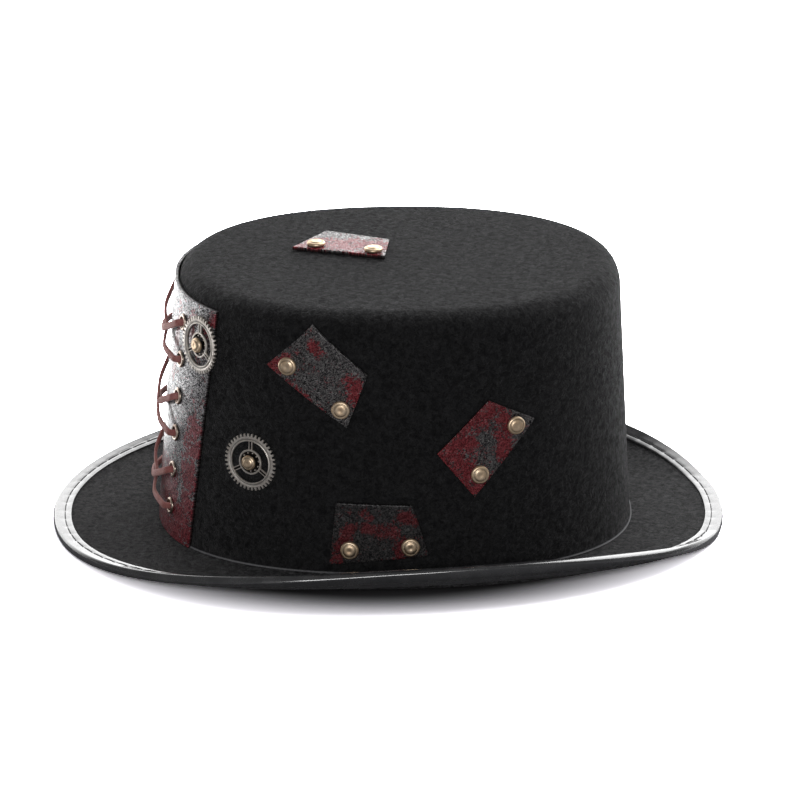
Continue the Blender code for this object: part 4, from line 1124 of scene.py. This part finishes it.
# The patches
# Four scraps of the panel's leather with straight cut sides: three lie on the crown's wall, one of
# them over its shoulder, and one lies flat on the tip.
PATCH_SIZE = 0.0200
PATCH_CELLS = 44
patch_table = {
    "patch_upper": (0.3631, 0.851, [(-0.350, 1.060), (0.900, 0.040), (0.570, -1.135), (-1.290, 0.110)]),
    "patch_rear": (0.5963, 0.547, [(0.000, 1.010), (1.095, 0.485), (-0.095, -1.110), (-0.990, -0.105)]),
    "patch_lower": (0.4581, 0.196, [(-0.940, 0.665), (0.680, 0.620), (1.120, -0.515), (-0.960, -0.725)]),
}
TIP_PATCH_MIDDLE = (-0.179, -0.232)
TIP_PATCH_CORNERS = [(0.210, -1.215), (-0.895, -0.455), (-0.235, 0.905), (0.910, 0.770)]
# Where each patch is rubbed red, as lines with a reach, in PATCH_SIZE from its middle.
patch_reds = {
    "patch_upper": [
        (-1.20, 0.10, -0.90, 0.20, 0.20), (-0.80, -0.28, -0.05, -0.80, 0.14), (-0.30, 0.62, -0.20, 0.50, 0.14),
        (0.60, -0.10, 0.66, -0.45, 0.16),
    ],
    "patch_rear": [
        (-0.35, 0.50, 0.10, 0.85, 0.30), (-0.85, -0.10, -0.10, -0.80, 0.38), (0.35, 0.55, 0.50, -0.15, 0.22),
        (-0.35, 0.00, -0.60, 0.20, 0.24),
    ],
    "patch_lower": [
        (0.45, 0.35, 0.75, 0.30, 0.16), (-0.80, -0.50, -0.60, 0.10, 0.16), (-0.25, 0.10, 0.30, 0.05, 0.14),
        (0.50, -0.55, 0.55, -0.20, 0.14), (-0.35, 0.45, -0.20, 0.35, 0.10),
    ],
    "patch_tip": [(0.00, -0.55, 0.20, 0.60, 0.44), (0.70, 0.55, 0.72, -0.10, 0.20), (0.15, -1.05, 0.3, -0.7, 0.16)],
}


def four_sided(corners, shares_down, shares_along):
    """Points of a flat four-sided piece: between its first and second corners, and its fourth and
    third, blended down from the one line to the other."""
    first, second, third, fourth = (np.array(item) for item in corners)
    start = first + (fourth - first) * shares_down[..., None]
    end = second + (third - second) * shares_down[..., None]
    return start + (end - start) * shares_along[..., None]


down = np.broadcast_to(crowded(PATCH_CELLS)[:, None], (len(crowded(PATCH_CELLS)),) * 2)
along_it = down.T
patch_rim = np.maximum(rounded_rim(down, 0.030), rounded_rim(along_it, 0.030))
patch_silver = {"patch_upper": 0.22, "patch_rear": 0.20, "patch_lower": 0.07, "patch_tip": 0.55}
patch_redness = {"patch_upper": 1.0, "patch_rear": 0.9, "patch_lower": 0.5, "patch_tip": 1.7}
patch_finishes = {
    name: leather_finish(
        name + "_leather", (np.array(lines) * PATCH_SIZE).tolist(), (silver, silver * 0.95, silver * 0.94), 1150.0,
        1.0 if name == "patch_tip" else 0.5,
        [tuple(redness * part for part in tone) for tone in ((0.070, 0.006, 0.009), (0.32, 0.036, 0.045))],
    )
    for (name, lines), silver, redness in zip(patch_reds.items(), patch_silver.values(), patch_redness.values())
}
for name, (share_round, share_up, corners) in patch_table.items():
    middle = np.array([share_round * HALF_GIRTH, share_up * SIDE_HEIGHT])
    flat = four_sided(corners, down, along_it) * PATCH_SIZE
    spots = middle + flat
    slab(
        on_crown(spots[..., 0], spots[..., 1], PANEL_FRONT - patch_rim)[0],
        on_crown(spots[..., 0], spots[..., 1], CLEARANCE)[0],
        flat, patch_finishes[name], name + "_scrap", [name],
    )
tip_middle = np.array([
    TIP_PATCH_MIDDLE[0] * TIP_WIDTH / 2, CENTRE_Y + TIP_LEANS_BACK + TIP_PATCH_MIDDLE[1] * TIP_LENGTH / 2, CROWN_TOP,
])
tip_flat = four_sided(TIP_PATCH_CORNERS, down, along_it) * PATCH_SIZE
tip_spots = np.concatenate([tip_flat, 0 * tip_flat[..., :1]], axis=-1) + tip_middle
slab(
    tip_spots + UPWARD * (PANEL_FRONT - patch_rim)[..., None], tip_spots + UPWARD * CLEARANCE,
    tip_flat, patch_finishes["patch_tip"], "patch_tip_scrap", ["patch_tip"],
)

# The rivets
# Domed brass rivets with a small dimple in the middle, two to a patch and one to a gear, pressed
# through the felt and clenched on a flat cap inside.
RIVET_RADIUS, GEAR_RIVET_RADIUS = 0.0040, 0.0032
RIVET_HEIGHT, RIVET_RIM = 0.0022, 0.0007
DIMPLE = 0.0003
RIVET_GROOVE, RIVET_GROOVE_SHARE = 0.00026, 0.70
SHANK_RADIUS, CAP_THICKNESS = 0.0014, 0.0008
RIVET_SIDES = 40


def rivet_profile(radius, seat):
    """The rivet's section from the middle of its head to the middle of its cap: a shallow dimple, a
    quarter of an ellipse, a rolled rim, a straight shank and a flat cap."""
    rise = RIVET_HEIGHT - RIVET_RIM
    turn = np.linspace(np.pi / 2, 0, 22)[1:]
    dome_radius = radius * np.cos(turn)
    dome = seat + RIVET_RIM + rise * np.sin(turn) ** 0.8
    dimple = DIMPLE * np.exp(-(dome_radius / (radius * 0.26)) ** 2)
    groove = np.exp(-((dome_radius - radius * RIVET_GROOVE_SHARE) / (radius * 0.09)) ** 2)
    head = np.stack([dome_radius, dome - dimple - RIVET_GROOVE * groove], -1)
    rest = [
        (radius, seat + RIVET_RIM * 0.5), (radius * 0.985, seat + 0.0001), (radius * 0.96, seat),
        (SHANK_RADIUS, seat), (SHANK_RADIUS, inner_seat), (radius * 0.97, inner_seat),
        (radius, inner_seat - CAP_THICKNESS * 0.3), (radius * 0.97, inner_seat - CAP_THICKNESS),
    ]
    start = seat + RIVET_HEIGHT - DIMPLE
    grime = np.concatenate([groove * 0.45, [0.5, 0.8, 1, 1, 1], np.zeros(3)])
    return np.concatenate([head, rest]), grime, start, inner_seat - CAP_THICKNESS


def rivet(name, place, radius, seat):
    """One rivet at a place on the hat, closed at both its poles."""
    profile, grime, top, bottom = rivet_profile(radius, seat)
    rings = lathed(profile, RIVET_SIDES, place)[0]
    count = rings.shape[0] * RIVET_SIDES
    point, _, _, out = (np.asarray(item).reshape(3) for item in place)
    points = np.concatenate([rings.reshape(-1, 3), [point + out * top, point + out * bottom]])
    faces = ring_faces(len(rings), RIVET_SIDES)[:, ::-1].tolist()
    faces += pole_faces(0, RIVET_SIDES, count, False).tolist()
    faces += pole_faces(count - RIVET_SIDES, RIVET_SIDES, count + 1, True).tolist()
    hollow = np.concatenate([np.repeat(grime, RIVET_SIDES), [0, 0]])
    surface(
        name + "_brass", points, faces, rivet_brass, [name], crease=50, marks={"hollow": hollow})


rivet_brass = brass_finish("rivet_brass", (1.0, 0.80, 0.58), (0.80, 0.59, 0.39), 0.36)
over_patch = PANEL_FRONT + CLEARANCE
patch_rivets = {
    "patch_upper": [(-0.800, 0.150), (0.410, -0.720)],
    "patch_rear": [(0.645, 0.415), (-0.045, -0.595)],
    "patch_lower": [(-0.555, -0.375), (0.715, -0.300)],
}
for name, spots in patch_rivets.items():
    share_round, share_up, _ = patch_table[name]
    for number, spot in enumerate(spots, start=1):
        across, climb = np.array([share_round * HALF_GIRTH, share_up * SIDE_HEIGHT]) + np.array(spot) * PATCH_SIZE
        rivet(f"{name}_rivet_{number}", on_crown(across, climb, 0.0), RIVET_RADIUS, over_patch)
for number, (x, y) in enumerate([(0.600, 0.530), (0.150, -0.700)], start=1):
    point = tip_middle + np.array([x, y, 0]) * PATCH_SIZE
    rivet(
        f"patch_tip_rivet_{number}", (point, np.array([1, 0, 0]), np.array([0, 1, 0]), UPWARD),
        RIVET_RADIUS, over_patch,
    )
for name, (share_round, share_up, seat) in gear_places.items():
    place = on_crown(share_round * HALF_GIRTH, share_up * SIDE_HEIGHT, 0.0)
    rivet(name + "_rivet", place, GEAR_RIVET_RADIUS, seat + CLEARANCE + GEAR_THICKNESS + CLEARANCE)
